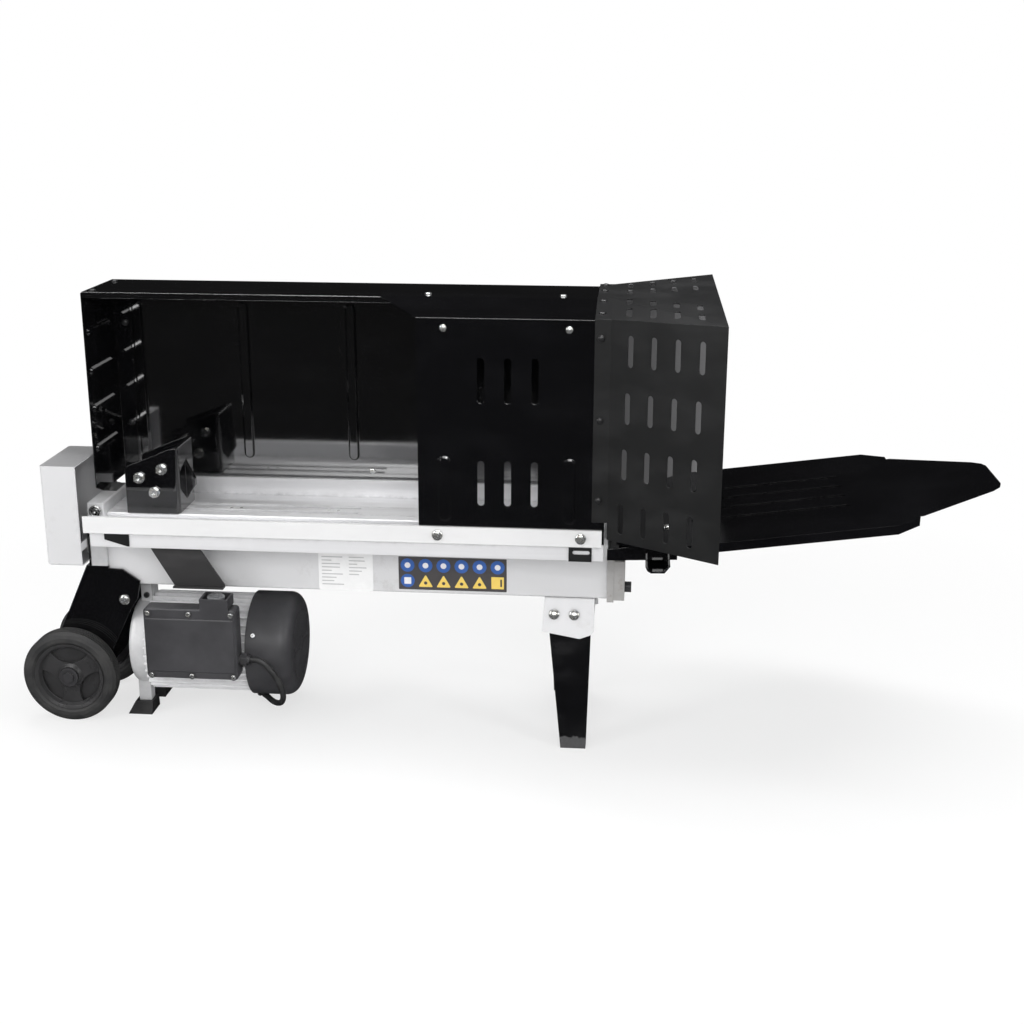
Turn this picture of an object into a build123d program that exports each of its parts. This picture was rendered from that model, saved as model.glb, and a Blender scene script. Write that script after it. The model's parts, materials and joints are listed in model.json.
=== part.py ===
from build123d import *
import os
from math import acos, atan, atan2, cos, degrees, hypot, pi, radians, sin, sqrt, tan

# Electric-hydraulic log splitter, millimetres, +Z up, floor at Z = 0.
# Along X: wheels and motor at the low end, wedge, outlet hood and catch tray at the high end.
# Y = 0 is the middle plane of the bed; the guard opens towards -Y, where the user stands.
# Dimensions are laid out from the left end of the side rails; put() moves every part by
# -MID_X, so that the finished machine is centred over its own origin.

# Bed
RAIL_LENGTH = 760.0
RAIL_BOTTOM = 319.0
RAIL_TOP = 344.0
RAIL_THICKNESS = 3.4
BED_HALF = 117.5           # outer face of the bed's side flanges
BED_FLOOR = 316.0          # top of the bed's floor
BED_START = 8.0
BED_END = 763.0
FLANGE_BOTTOM = 297.0
WALL = 5.0
GUIDE_HALF = 42.0
GUIDE_TOP = 327.0
STROKE = 325.0             # travel of the pusher
FIN_START, FIN_END = 42.0, 62.0    # the yoke's fins where they pass through the bed
SLOT_START, SLOT_END = FIN_START - 2, FIN_END + STROKE + 2
SLOT_IN, SLOT_OUT = 8.0, 16.0

# Beam under the bed, which is also the oil tank
BEAM_HALF = 50.0
BEAM_BOTTOM = 215.0
BEAM_TOP = BED_FLOOR - WALL
BEAM_WALL = 4.0
BEAM_END = 768.0

# Hydraulics
ROD_Z = 263.0
ROD_RADIUS = 15.0
BORE_RADIUS = 31.0
TUBE_RADIUS = 37.0
GLAND_START, GLAND_END = 390.0, 410.0
PISTON_START, PISTON_END = 412.0, 430.0
RUNNING = 0.05             # radial clearance of every shaft in its hole

# Pusher
PUSHER_START, PUSHER_END = 41.0, 122.0
PUSHER_PLATE = 6.0
PUSHER_LOW, PUSHER_TOP = 327.4, 428.0
PUSHER_BOLTS = ((63.0, 383.0), (98.0, 397.0), (85.0, 361.0))

# Guard
SHEET = 1.6
GUARD_START, GUARD_END = -14.4, 763.0
GUARD_TOP = 657.0
GUARD_FRONT = -16.0
PANEL_START = 497.0
PANEL_TOP = 645.0
LAP_EDGE = GUARD_FRONT - 1  # where the front cover folds flat onto the roof
GUARD_PLANE = BED_HALF     # inner face of the front panel and of the back
SHEET_LOW = 322.0

# Outlet hood
HOOD_START, HOOD_BEND, HOOD_END = 745.0, 767.0, 919.0
HOOD_NEAR, HOOD_FAR = BED_HALF + SHEET, 246.0
HOOD_LOW_START, HOOD_LOW_END = 331.0, 340.0
HOOD_TOP = 660.4
HOOD_EAVES = 647.0         # top of the near mounting strip
HOOD_FALL = (HOOD_TOP - HOOD_EAVES) / (LAP_EDGE + HOOD_NEAR + SHEET)

# Catch tray
TRAY_START, TRAY_FLARE, TRAY_BEVEL, TRAY_BEND, TRAY_TIP = 781.0, 880.0, 1162.0, 1201.0, 1325.0
TRAY_Z, TRAY_RISE = 334.0, tan(radians(7.7))
TRAY_HALF_START, TRAY_HALF, TRAY_BEND_HALF = 112.0, 190.0, 157.0
TRAY_HEM = 13.0

# Wheels
WHEEL_X, WHEEL_RADIUS, WHEEL_WIDTH = -56.0, 73.0, 32.0
WHEEL_IN = 57.0            # inner side of each wheel, from the middle plane
AXLE_RADIUS = 6.0
BRACKET_IN, BRACKET_OUT = 51.0, 54.0

# Motor and pump
MOTOR_Z, MOTOR_RADIUS = 107.5, 77.0
BELL_START, HOUSING_START, COWL_START, COWL_END = 34.0, 60.0, 220.0, 289.0
COWL_RADIUS, COWL_WALL = 81.0, 3.0
SHAFT_RADIUS = 8.0
GEAR_TEETH, GEAR_MODULE, GEAR_GAP = 12, 2.5, 0.3
GEAR_CENTRES = GEAR_TEETH * GEAR_MODULE + GEAR_GAP

# Legs
SPLAY = 0.315              # outward travel of a leg per unit of drop
LEG_TOP_X, LEG_FOOT_X = (678.0, 747.0), (705.0, 742.0)
LEG_MIDDLE = (LEG_TOP_X[0] + LEG_TOP_X[1]) / 2

MID_X = (WHEEL_X - WHEEL_RADIUS + TRAY_TIP) / 2


def put(name, shape):
    """Writes one named piece, moved to the machine's own origin."""
    shape = Pos(-MID_X, 0, 0) * shape
    shape.label = name
    export_step(shape, f"parts/{name}.step")


def block(x, y, z):
    """A box from three (low, high) pairs."""
    size = (x[1] - x[0], y[1] - y[0], z[1] - z[0])
    return Pos((x[0] + x[1]) / 2, (y[0] + y[1]) / 2, (z[0] + z[1]) / 2) * Box(*size)


def bar_x(x, y, z, radius):
    return Pos((x[0] + x[1]) / 2, y, z) * Rot(0, 90, 0) * Cylinder(radius, x[1] - x[0])


def bar_y(x, y, z, radius):
    return Pos(x, (y[0] + y[1]) / 2, z) * Rot(90, 0, 0) * Cylinder(radius, y[1] - y[0])


def bar_z(x, y, z, radius):
    return Pos(x, y, (z[0] + z[1]) / 2) * Cylinder(radius, z[1] - z[0])


def polygon(points):
    return make_face(Polyline(*points, close=True)).face()


def plate_xz(points, y):
    """An outline in the XZ plane with its thickness along Y."""
    return extrude(polygon([(px, y[0], pz) for px, pz in points]), y[1] - y[0], (0, 1, 0))


def plate_yz(points, x):
    return extrude(polygon([(x[0], py, pz) for py, pz in points]), x[1] - x[0], (1, 0, 0))


def plate_xy(points, z):
    return extrude(polygon([(px, py, z[0]) for px, py in points]), z[1] - z[0], (0, 0, 1))


def facet(corners, inwards, thickness=SHEET):
    """A flat sheet through the given corners, thickened towards the point `inwards`."""
    face = polygon(corners)
    normal = face.normal_at()
    if normal.dot(Vector(*inwards) - Vector(*corners[0])) < 0:
        normal = normal * -1
    return extrude(face, thickness, normal)


def mirror_y(shape):
    return mirror(shape, Plane.XZ)


def half_turn(shape):
    """The same part on the other side of the beam, turned about the upright line between the legs."""
    return Pos(2 * LEG_MIDDLE, 0, 0) * Rot(0, 0, 180) * shape


def slot(length, width, depth):
    """A round-ended slot cutter, its length along local Y, through local Z = 0."""
    return extrude(Rot(0, 0, 90) * SlotOverall(length, width), depth / 2, both=True)


def bead(length, width, height):
    """A pressed bead: a hollow-backed, round-ended swelling on local Z = 0, length along Y."""
    outer = Rot(0, 0, 90) * SlotOverall(length, width)
    inner = Rot(0, 0, 90) * SlotOverall(length - 2 * SHEET, width - 2 * SHEET)
    swelling = extrude(outer, height, taper=35)
    hollow = extrude(inner, height - SHEET, taper=35)
    return swelling, hollow


def press_bead(sheet, where, length, width=17.0, height=4.0):
    """Adds a bead to a sheet; `where` puts the bead's base on the sheet's outer face."""
    swelling, hollow = bead(length, width, height)
    back = extrude(Rot(0, 0, 90) * SlotOverall(length - 2 * SHEET, width - 2 * SHEET), -2 * SHEET)
    return sheet + where * swelling - where * hollow - where * back


def place(point, axis):
    """A location at a point whose local Z is along `axis`."""
    return Plane(origin=point, z_dir=axis).location


def dome_bolt(point, axis, grip, radius=4.0, nut=True):
    """Carriage-style bolt: dome head on the near face, nut behind the grip."""
    head = Cylinder(radius * 2.05, radius * 0.3, align=(Align.CENTER, Align.CENTER, Align.MIN))
    dome = Pos(0, 0, radius * 0.3) * scale(
        Sphere(radius * 2.05, arc_size1=0, arc_size2=90, align=(Align.CENTER, Align.CENTER, Align.NONE)),
        (1, 1, 0.45))
    shank = Cylinder(radius, grip, align=(Align.CENTER, Align.CENTER, Align.MAX))
    bolt = head + dome + shank
    if nut:
        bolt += hex_prism(radius * 3.4, radius * 1.6, -grip - radius * 1.6)
    return place(point, axis) * bolt


def hex_prism(across_corners, height, base):
    return Pos(0, 0, base) * extrude(RegularPolygon(across_corners / 2, 6), height)


def hex_bolt(point, axis, grip, radius=4.0):
    """Hexagon-head bolt with a washer; the shank goes `grip` below the washer."""
    washer = Cylinder(radius * 2.1, 1.5, align=(Align.CENTER, Align.CENTER, Align.MIN))
    shank = Cylinder(radius, grip, align=(Align.CENTER, Align.CENTER, Align.MAX))
    return place(point, axis) * (washer + shank + hex_prism(radius * 3.6, radius * 1.3, 1.5))


def small_screw(point, axis, grip, radius=2.0, cross=True):
    """Pan-head screw with a cross recess."""
    screw = Cylinder(radius * 1.9, radius * 0.9, align=(Align.CENTER, Align.CENTER, Align.MIN))
    screw += Cylinder(radius, grip, align=(Align.CENTER, Align.CENTER, Align.MAX))
    screw = fillet(screw.edges().group_by(Axis.Z)[-1], radius * 0.5)
    if cross:
        for turn in (0, 90):
            screw -= Pos(0, 0, radius * 0.9) * Rot(0, 0, turn) * Box(radius * 2.2, 0.5, radius)
    return place(point, axis) * screw


def upright(point, side=-1):
    """A location on a face that looks along Y, with local Y straight up."""
    return Plane(origin=point, x_dir=(-side, 0, 0), z_dir=(0, side, 0)).location


def hole(point, axis, depth, radius):
    """A cutter for a fastener's hole, going `depth` below the point."""
    return place(point, axis) * Cylinder(radius, depth, align=(Align.CENTER, Align.CENTER, Align.MAX))


# ---- where the fasteners are: (point, outward axis, grip) ----
RAIL_FACE = BED_HALF + SHEET + RAIL_THICKNESS
RAIL_MID = (RAIL_BOTTOM + RAIL_TOP) / 2
RAIL_GRIP = RAIL_THICKNESS + SHEET + WALL
RAIL_BOLT_X = {-1: (524.0, 730.0), 1: (40.0, 524.0, 730.0)}
RAIL_BOLTS = [((x, side * RAIL_FACE, RAIL_MID), (0, side, 0), RAIL_GRIP)
              for side, row in RAIL_BOLT_X.items() for x in row]
HOOD_BOLTS = [((754.0, side * (HOOD_NEAR + SHEET), z), (0, side, 0), 2 * SHEET)
              for side in (-1, 1) for z in (388.0, 504.0, 620.0)]
HOOD_BOLTS += [((754.0, y, HOOD_TOP), (0, 0, 1), HOOD_TOP - GUARD_TOP + SHEET) for y in (49.0, 106.0)]
HOOD_BOLTS += [((754.0, y, HOOD_TOP + (y - LAP_EDGE) * HOOD_FALL), (0, -HOOD_FALL, 1), 2 * SHEET + 1)
               for y in (-94.0, -33.0)]
TOP_BOLTS = [((x, 4.0, GUARD_TOP + SHEET), (0, 0, 1), 2 * SHEET) for x in (498.0, 695.0)]
END_BOLTS = [((-3.0, y, GUARD_TOP), (0, 0, 1), 2 * SHEET) for y in (0.0, 97.0)]
BACK_BOLTS = [((389.0, GUARD_PLANE, 358.0), (0, -1, 0), SHEET),
              ((2.0, GUARD_PLANE - SHEET, 430.0), (0, -1, 0), 2 * SHEET),
              ((2.0, GUARD_PLANE - SHEET, 590.0), (0, -1, 0), 2 * SHEET)]
SMALL_BOLT = 2.5


# ---- bed and beam ----
def slots_for_yoke(z):
    return [block((SLOT_START, SLOT_END), side, z)
            for side in ((-SLOT_OUT, -SLOT_IN), (SLOT_IN, SLOT_OUT))]


TABLE_SCREWS = [(x, 0.0, GUIDE_TOP) for start in (190.0, 341.0, 492.0, 643.0) for x in (start, start + 15.0)]


def table():
    """Extruded bed: floor, side flanges and the raised T-shaped guide for the pusher."""
    length = (BED_START, BED_END)
    bed = block(length, (-BED_HALF, BED_HALF), (BED_FLOOR - WALL, BED_FLOOR))
    for side in (1, -1):
        edges = sorted((side * (BED_HALF - WALL), side * BED_HALF))
        bed += block(length, edges, (FLANGE_BOTTOM, RAIL_TOP - 1))
    bed += block(length, (-GUIDE_HALF + 8, GUIDE_HALF - 8), (BED_FLOOR, BED_FLOOR + 5))
    head = block(length, (-GUIDE_HALF, GUIDE_HALF), (BED_FLOOR + 5, GUIDE_TOP))
    long_edges = [e for e in head.edges().filter_by(Axis.X) if e.center().Z > GUIDE_TOP - 1]
    bed += chamfer(long_edges, 1.5)
    for y in (19.0, 22.0):
        for side in (-y, y):
            bed -= block(length, (side - 0.6, side + 0.6), (GUIDE_TOP - 1, GUIDE_TOP))
    for cutter in slots_for_yoke((BED_FLOOR - WALL, GUIDE_TOP)):
        bed -= cutter
    for point in TABLE_SCREWS:
        bed -= hole(point, (0, 0, 1), 20, 2.6)
    for point, axis, grip in RAIL_BOLTS:
        bed -= hole(point, axis, grip + 1, 4.1)
    for point, axis, grip in wedge_bolts():
        bed -= hole(point, axis, grip, 4.1)
    return bed


def beam():
    """Extruded tank beam with rounded lower corners; the slots let the yoke's fins through."""
    outer = block((BED_START, BEAM_END), (-BEAM_HALF, BEAM_HALF), (BEAM_BOTTOM, BEAM_TOP))
    low = [e for e in outer.edges().filter_by(Axis.X) if e.center().Z < BEAM_BOTTOM + 1]
    outer = fillet(low, 4)
    inner = block((BED_START, BEAM_END), (BEAM_WALL - BEAM_HALF, BEAM_HALF - BEAM_WALL),
                  (BEAM_BOTTOM + BEAM_WALL, BEAM_TOP - BEAM_WALL))
    box = outer - inner
    for cutter in slots_for_yoke((BEAM_TOP - BEAM_WALL, BEAM_TOP)):
        box -= cutter
    for point in TABLE_SCREWS:
        box -= hole(point, (0, 0, 1), 20.5, 2.05)
    return box


def side_rails():
    """Two flat bars bolted along the bed, standing above its floor to keep a log in."""
    rails = []
    for side in (-1, 1):
        y = sorted((side * (BED_HALF + SHEET), side * RAIL_FACE))
        rail = block((0, RAIL_LENGTH), y, (RAIL_BOTTOM, RAIL_TOP))
        for point, axis, grip in RAIL_BOLTS:
            if axis[1] == side:
                rail -= hole(point, axis, RAIL_THICKNESS, 4.1)
        rails.append(rail)
    return rails


def table_brackets():
    """Two folded clips on the bed's near flange, one with a slot for the transport strap."""
    face = (-BED_HALF - 1.5, -BED_HALF)
    right = block((713.0, 746.0), face, (296.0, 317.0))
    right -= upright((731.0, face[0], 309.5)) * Rot(0, 0, 90) * slot(25, 6, 8)
    left = plate_xz(((30, 309), (64, 299), (67, 299), (67, 318.5), (30, 318.5)), face)
    return [left, right]


def end_plate(x, half, z, bore):
    plate = fillet(block(x, (-half, half), z).edges().filter_by(Axis.X), 3)
    if bore:
        plate -= bar_x(x, PLUG_Y, PLUG_Z, 6)
    for point, axis, grip in END_PLATE_BOLTS:
        plate -= hole(point, axis, grip, 5.1)
        plate -= bar_x((END_BOLT_SEAT, OUTER_PLATE[1]), point[1], point[2], 10.6)
    return plate


OUTER_PLATE = (778.0, 794.0)
END_BOLT_SEAT = OUTER_PLATE[1] - 8.5     # the heads lie sunk in the outer plate
END_PLATE_BOLTS = [((END_BOLT_SEAT, y, z), (1, 0, 0), 17.4) for y, z in ((-38.0, 262.0), (38.0, 262.0),
                                                                       (38.0, 230.0))]
PLUG_Y, PLUG_Z = -34.0, 230.0


def dipstick():
    """Oil filler plug with its dipstick, screwed into the outer plate."""
    start, end = OUTER_PLATE
    plug = bar_x((end, end + 10), PLUG_Y, PLUG_Z, 8) + bar_x((start + 0.5, end), PLUG_Y, PLUG_Z, 5.9)
    for turn in range(6):
        angle = turn * pi / 3
        plug -= bar_x((end + 2, end + 10), PLUG_Y + 9.4 * cos(angle), PLUG_Z + 9.4 * sin(angle), 2.4)
    return plug


# ---- wedge ----
def wedge_bolts():
    return [((x, y, GUIDE_TOP + 8), (0, 0, 1), 19.0) for x in (735.0,) for y in (-24.0, 24.0)]


def wedge():
    """Splitting wedge on a base plate, its edge towards the pusher."""
    plan = ((668, -1.2), (668, 1.2), (722, 22), (722, -22))
    blade = plate_xy(plan, (GUIDE_TOP + 8, 480))
    back = plate_xz(((690, GUIDE_TOP + 8), (749, GUIDE_TOP + 8), (722, 480), (700, 480)), (-6, 6))
    foot = block((664, 758), (-GUIDE_HALF, GUIDE_HALF), (GUIDE_TOP, GUIDE_TOP + 8))
    solid = blade + back + foot
    for point, axis, grip in wedge_bolts():
        solid -= hole(point, axis, 8, 4.1)
    return solid


# ---- hydraulics ----
def end_block():
    """Cast valve block closing the left end of the beam; the spool slides across it."""
    casting = block((-18, BED_START), (-55, 55), (245, 345))
    casting = chamfer(casting.edges().filter_by(Axis.Y).group_by(Axis.Z)[-1], 2)
    casting = fillet(casting.edges().filter_by(Axis.Z), 2.5)
    casting -= bar_y(SPOOL_X, (-55, 55), SPOOL_Z, SPOOL_RADIUS + RUNNING)
    casting -= bar_y(SPOOL_X, (-55, -42), SPOOL_Z, 8)
    for point, axis, grip in WEB_BOLTS:
        casting -= hole((point[0] + 3, point[1], point[2]), axis, grip, 4.1)
    for x in LEVER_SCREW_X:
        casting -= bar_y(x, (43, 55), LEVER_FOOT_Z, 3)
    return casting


SPOOL_X, SPOOL_Z, SPOOL_RADIUS = -4.5, 332.0, 5.5
LEVER_X, LEVER_Y = -30.0, 84.0
LEVER_SCREW_X = (-14.0, 0.0)
LEVER_FOOT_Z = 312.0


def valve_plug():
    """Round screw plug that closes the near end of the spool bore."""
    plug = bar_y(SPOOL_X, (-60, -55), SPOOL_Z, 9.5) + bar_y(SPOOL_X, (-55, -43), SPOOL_Z, 7.95)
    plug = fillet(plug.edges().group_by(Axis.Y)[0], 1.5)
    groove = bar_y(SPOOL_X, (-60, -59), SPOOL_Z, 6.6) - bar_y(SPOOL_X, (-60, -59), SPOOL_Z, 5.4)
    return plug - groove - bar_y(SPOOL_X, (-60, -57), SPOOL_Z, 2)


def spool():
    """Valve spool with its lands and grooves; the lever pushes its far end."""
    body = bar_y(SPOOL_X, (-26, 66), SPOOL_Z, SPOOL_RADIUS)
    for y in (-14.0, 4.0, 22.0):
        ring = bar_y(SPOOL_X, (y, y + 8), SPOOL_Z, SPOOL_RADIUS)
        body -= ring - bar_y(SPOOL_X, (y, y + 8), SPOOL_Z, 3.5)
    return body


def lever_bracket():
    """Angle bracket on the valve block that carries the lever's upright pin."""
    foot = block((-40, 8), (55, 59), (303, 322))
    shelf = block((-40, 8), (55, 94), (322, 326))
    pin = bar_z(LEVER_X, LEVER_Y, (326, 344), 4) + bar_z(LEVER_X, LEVER_Y, (339, 344), 7)
    bracket = foot + shelf + pin
    for x in LEVER_SCREW_X:
        bracket -= bar_y(x, (55, 59), LEVER_FOOT_Z, 3)
    return bracket


def control_lever():
    """Flat cranked lever: a finger behind the spool, and an arm out to the knob."""
    arm = plate_xy(((-96, 82), (-30, 74), (-22, 74), (2, 68), (2, 72.5), (-18, 94), (-30, 94), (-96, 90)),
                   (328, 336))
    finger = bar_z(SPOOL_X, 66.4 + 4.0, (326.5, 337), 4.0)
    lever = arm + finger + bar_z(LEVER_X, LEVER_Y, (327, 338.5), 11)
    lever -= bar_z(LEVER_X, LEVER_Y, (326.5, 339), 4 + RUNNING)
    return lever + bar_x((-104, -95), 86, 332, 3)


def lever_knob():
    ball = Pos(-110, 86, 332) * Sphere(13)
    return ball - bar_x((-112, -95), 86, 332, 3)


COVER_EDGE = -21.0         # where the cover meets the wheel bracket's web


def end_cover():
    """Folded sheet box over the valve end, open towards the machine."""
    outer = block((-75, COVER_EDGE), (-82, 40), (253, 408))
    outer = fillet(outer.edges().filter_by(Axis.Y).group_by(Axis.Z)[0].sort_by(Axis.X)[:1], 5)
    outer = fillet(outer.edges().filter_by(Axis.Z).sort_by(Axis.X)[:2], 4)
    inner = block((-75 + SHEET, COVER_EDGE), (-82 + SHEET, 40 - SHEET), (253 + SHEET, 408 - SHEET))
    cover = outer - inner
    for y in ((-82 + SHEET, -56), (24, 40 - SHEET)):
        cover += block((COVER_EDGE - SHEET, COVER_EDGE), y, (276, 289))
    return cover


def cylinder_tube():
    tube = bar_x((GLAND_END - 6, BEAM_END), 0, ROD_Z, TUBE_RADIUS)
    tube -= bar_x((GLAND_END - 6, BEAM_END), 0, ROD_Z, BORE_RADIUS)
    return tube


def gland():
    """Cylinder head that also walls off the tank part of the beam."""
    wall = block((GLAND_START, GLAND_END), (BEAM_WALL - BEAM_HALF, BEAM_HALF - BEAM_WALL),
                 (BEAM_BOTTOM + BEAM_WALL, BEAM_TOP - BEAM_WALL))
    wall -= bar_x((GLAND_END - 6, GLAND_END), 0, ROD_Z, TUBE_RADIUS)
    return wall - bar_x((GLAND_START, GLAND_END), 0, ROD_Z, ROD_RADIUS + RUNNING)


def piston():
    body = bar_x((PISTON_START, PISTON_END), 0, ROD_Z, BORE_RADIUS - RUNNING)
    body -= bar_x((418, 424), 0, ROD_Z, BORE_RADIUS) - bar_x((418, 424), 0, ROD_Z, 26)
    return body - bar_x((PISTON_START, PISTON_END), 0, ROD_Z, 10)


def piston_seal():
    ring = bar_x((418.1, 423.9), 0, ROD_Z, BORE_RADIUS - RUNNING)
    return ring - bar_x((418, 424), 0, ROD_Z, 26)


def piston_rod():
    rod = bar_x((50, PISTON_START), 0, ROD_Z, ROD_RADIUS) + bar_x((44, 50), 0, ROD_Z, 11)
    return rod + bar_x((PISTON_START, PISTON_END), 0, ROD_Z, 10)


def drive_yoke():
    """Yoke on the rod's end whose two fins come up through the bed and carry the pusher."""
    fin_side = ((FIN_START, ROD_Z), (FIN_END, ROD_Z), (FIN_END, 340), (110, 350), (110, 412), (60, 395),
                (48, 380), (FIN_START, 340))
    yoke = bar_x((FIN_START, FIN_END), 0, ROD_Z, 26)
    for low, high in ((-SLOT_OUT + 0.5, -SLOT_IN - 0.5), (SLOT_IN + 0.5, SLOT_OUT - 0.5)):
        yoke += plate_xz(fin_side, (low, high))
    yoke -= bar_x((50, FIN_END), 0, ROD_Z, ROD_RADIUS) + bar_x((FIN_START, 50), 0, ROD_Z, 11)
    for x, z in PUSHER_BOLTS:
        yoke -= bar_y(x, (-20, 20), z, 5)
    return yoke


# ---- pusher ----
def pusher():
    """Plate bent round two corners, welded to a sliding base, with a holding tooth in front."""
    width = GUIDE_HALF + 1.0
    side = ((PUSHER_START, PUSHER_LOW), (PUSHER_END, PUSHER_LOW), (PUSHER_END, PUSHER_TOP),
            (112, PUSHER_TOP), (44, 400), (PUSHER_START, 396))
    shell = plate_xz(side, (-width, width))
    shell = fillet(shell.edges().filter_by(Axis.Z).sort_by(Axis.X)[-2:], 9)
    tip = shell.edges().filter_by(Axis.Y).group_by(Axis.Z)[-1].sort_by(Axis.X)
    shell = fillet(tip[:1], 5)
    inner_end = PUSHER_END - PUSHER_PLATE
    inside = plate_xz(((0, 300), (inner_end, 300), (inner_end, 500), (0, 500)),
                      (PUSHER_PLATE - width, width - PUSHER_PLATE))
    inside = fillet(inside.edges().filter_by(Axis.Z).sort_by(Axis.X)[-2:], 4)
    shell -= inside
    base = block((PUSHER_START, PUSHER_END - 3), (-width, width), (PUSHER_LOW, PUSHER_LOW + PUSHER_PLATE))
    for low, high in ((-SLOT_OUT, -SLOT_IN), (SLOT_IN, SLOT_OUT)):
        base -= block((PUSHER_START, 63), (low, high), (PUSHER_LOW, PUSHER_LOW + PUSHER_PLATE))
    tooth = plate_xz(((PUSHER_END - 0.5, 340), (136, 362), (136, 372), (PUSHER_END - 0.5, 402)), (-4, 4))
    solid = shell + base + tooth
    for x, z in PUSHER_BOLTS:
        solid -= bar_y(x, (-60, 60), z, 5.1)
    return solid


def pusher_bolts():
    """Three through-bolts, each with washers, spacers round the fins and a lock nut."""
    width = GUIDE_HALF + 1.0
    bolts = []
    for x, z in PUSHER_BOLTS:
        bolt = bar_y(x, (-width - 8, width + 2), z, 5 - RUNNING)
        for side in (-1, 1):
            washer = sorted((side * width, side * (width + 2)))
            bolt += bar_y(x, washer, z, 8.2)
            nut = Plane(origin=(x, side * (width + 2), z), z_dir=(0, side, 0))
            bolt += nut.location * extrude(RegularPolygon(7.4, 6), 6)
        bolt -= place((x, -width - 8, z), (0, -1, 0)) * extrude(RegularPolygon(3.2, 6), -4)
        bolts.append(bolt)
    return bolts


# ---- guard ----
def guard_back():
    """Back and roof of the guard, folded from one sheet, with pressed upright beads."""
    back = block((GUARD_START, GUARD_END), (GUARD_PLANE, GUARD_PLANE + SHEET), (SHEET_LOW, GUARD_TOP))
    roof = block((GUARD_START, GUARD_END), (GUARD_FRONT, GUARD_PLANE + SHEET), (GUARD_TOP - SHEET, GUARD_TOP))
    hem = block((GUARD_START, GUARD_END), (GUARD_FRONT, GUARD_FRONT + SHEET), (GUARD_TOP - 9, GUARD_TOP))
    sheet = back + roof + hem
    for x in (22.0, 191.0, 360.0, 529.0, 698.0):
        sheet = press_bead(sheet, upright((x, GUARD_PLANE, 500)), 250)
    for point, axis, grip in RAIL_BOLTS:
        if axis[1] > 0:
            sheet -= hole(point, axis, RAIL_GRIP, 4.1)
    for point, axis, grip in TOP_BOLTS + END_BOLTS + BACK_BOLTS + HOOD_BOLTS:
        sheet -= hole(point, axis, grip, SMALL_BOLT + 0.1)
    return sheet


def guard_end():
    """Left end of the guard: a sheet with four pressed beads and three folded flanges."""
    side = ((GUARD_FRONT, 357), (12, 345), (GUARD_PLANE - 1, 345), (GUARD_PLANE - 1, GUARD_TOP - SHEET),
            (GUARD_FRONT, GUARD_TOP - SHEET))
    sheet = plate_yz(side, (GUARD_START - SHEET, GUARD_START))
    sheet += block((GUARD_START - SHEET, 8), (-14, 114), (GUARD_TOP - 2 * SHEET, GUARD_TOP - SHEET))
    back_flange = (348, GUARD_TOP - 2 * SHEET)
    sheet += block((GUARD_START - SHEET, 10), (GUARD_PLANE - SHEET, GUARD_PLANE), back_flange)
    sheet += block((GUARD_START - SHEET, 6), (12, 54), (345, 345 + SHEET))
    for z in (416.0, 478.0, 535.0, 595.0):
        face = Plane(origin=(GUARD_START, 42, z), x_dir=(0, 0, 1), z_dir=(1, 0, 0)).location
        sheet = press_bead(sheet, face, 96, 12, 3.5)
    for point, axis, grip in END_BOLTS + BACK_BOLTS[1:]:
        sheet -= hole(point, axis, grip, SMALL_BOLT + 0.1)
    return sheet


def guard_front():
    """Front panel in front of the wedge, folded over into the sloping top cover."""
    low, high = -GUARD_PLANE - SHEET, -GUARD_PLANE
    panel = block((PANEL_START, GUARD_END), (low, high), (SHEET_LOW, PANEL_TOP))
    inside = (600, 0, 400)
    slope = facet(((PANEL_START, low, PANEL_TOP), (GUARD_END, low, PANEL_TOP),
                   (GUARD_END, LAP_EDGE, GUARD_TOP + SHEET), (431, LAP_EDGE, GUARD_TOP + SHEET)), inside)
    lap = block((431, GUARD_END), (LAP_EDGE, 16), (GUARD_TOP, GUARD_TOP + SHEET))
    sheet = panel + slope + lap
    for z, length in ((558.0, 65.0), (409.0, 66.0)):
        for x in (587.0, 625.0, 663.0):
            sheet -= upright((x, low, z)) * slot(length, 10, 8)
    for x in (535.0, 713.0):
        sheet = press_bead(sheet, upright((x, low, 400)), 96, 18, 3.0)
    for point, axis, grip in RAIL_BOLTS:
        if axis[1] < 0:
            sheet -= hole(point, axis, RAIL_GRIP, 4.1)
    for point, axis, grip in TOP_BOLTS + HOOD_BOLTS + STAY_BOLTS:
        sheet -= hole(point, axis, grip, SMALL_BOLT + 0.1)
    return sheet


STAY_BOLTS = [((x, -GUARD_PLANE - SHEET, 631.0), (0, -1, 0), SHEET) for x in (535.0, 710.0)]


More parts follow.
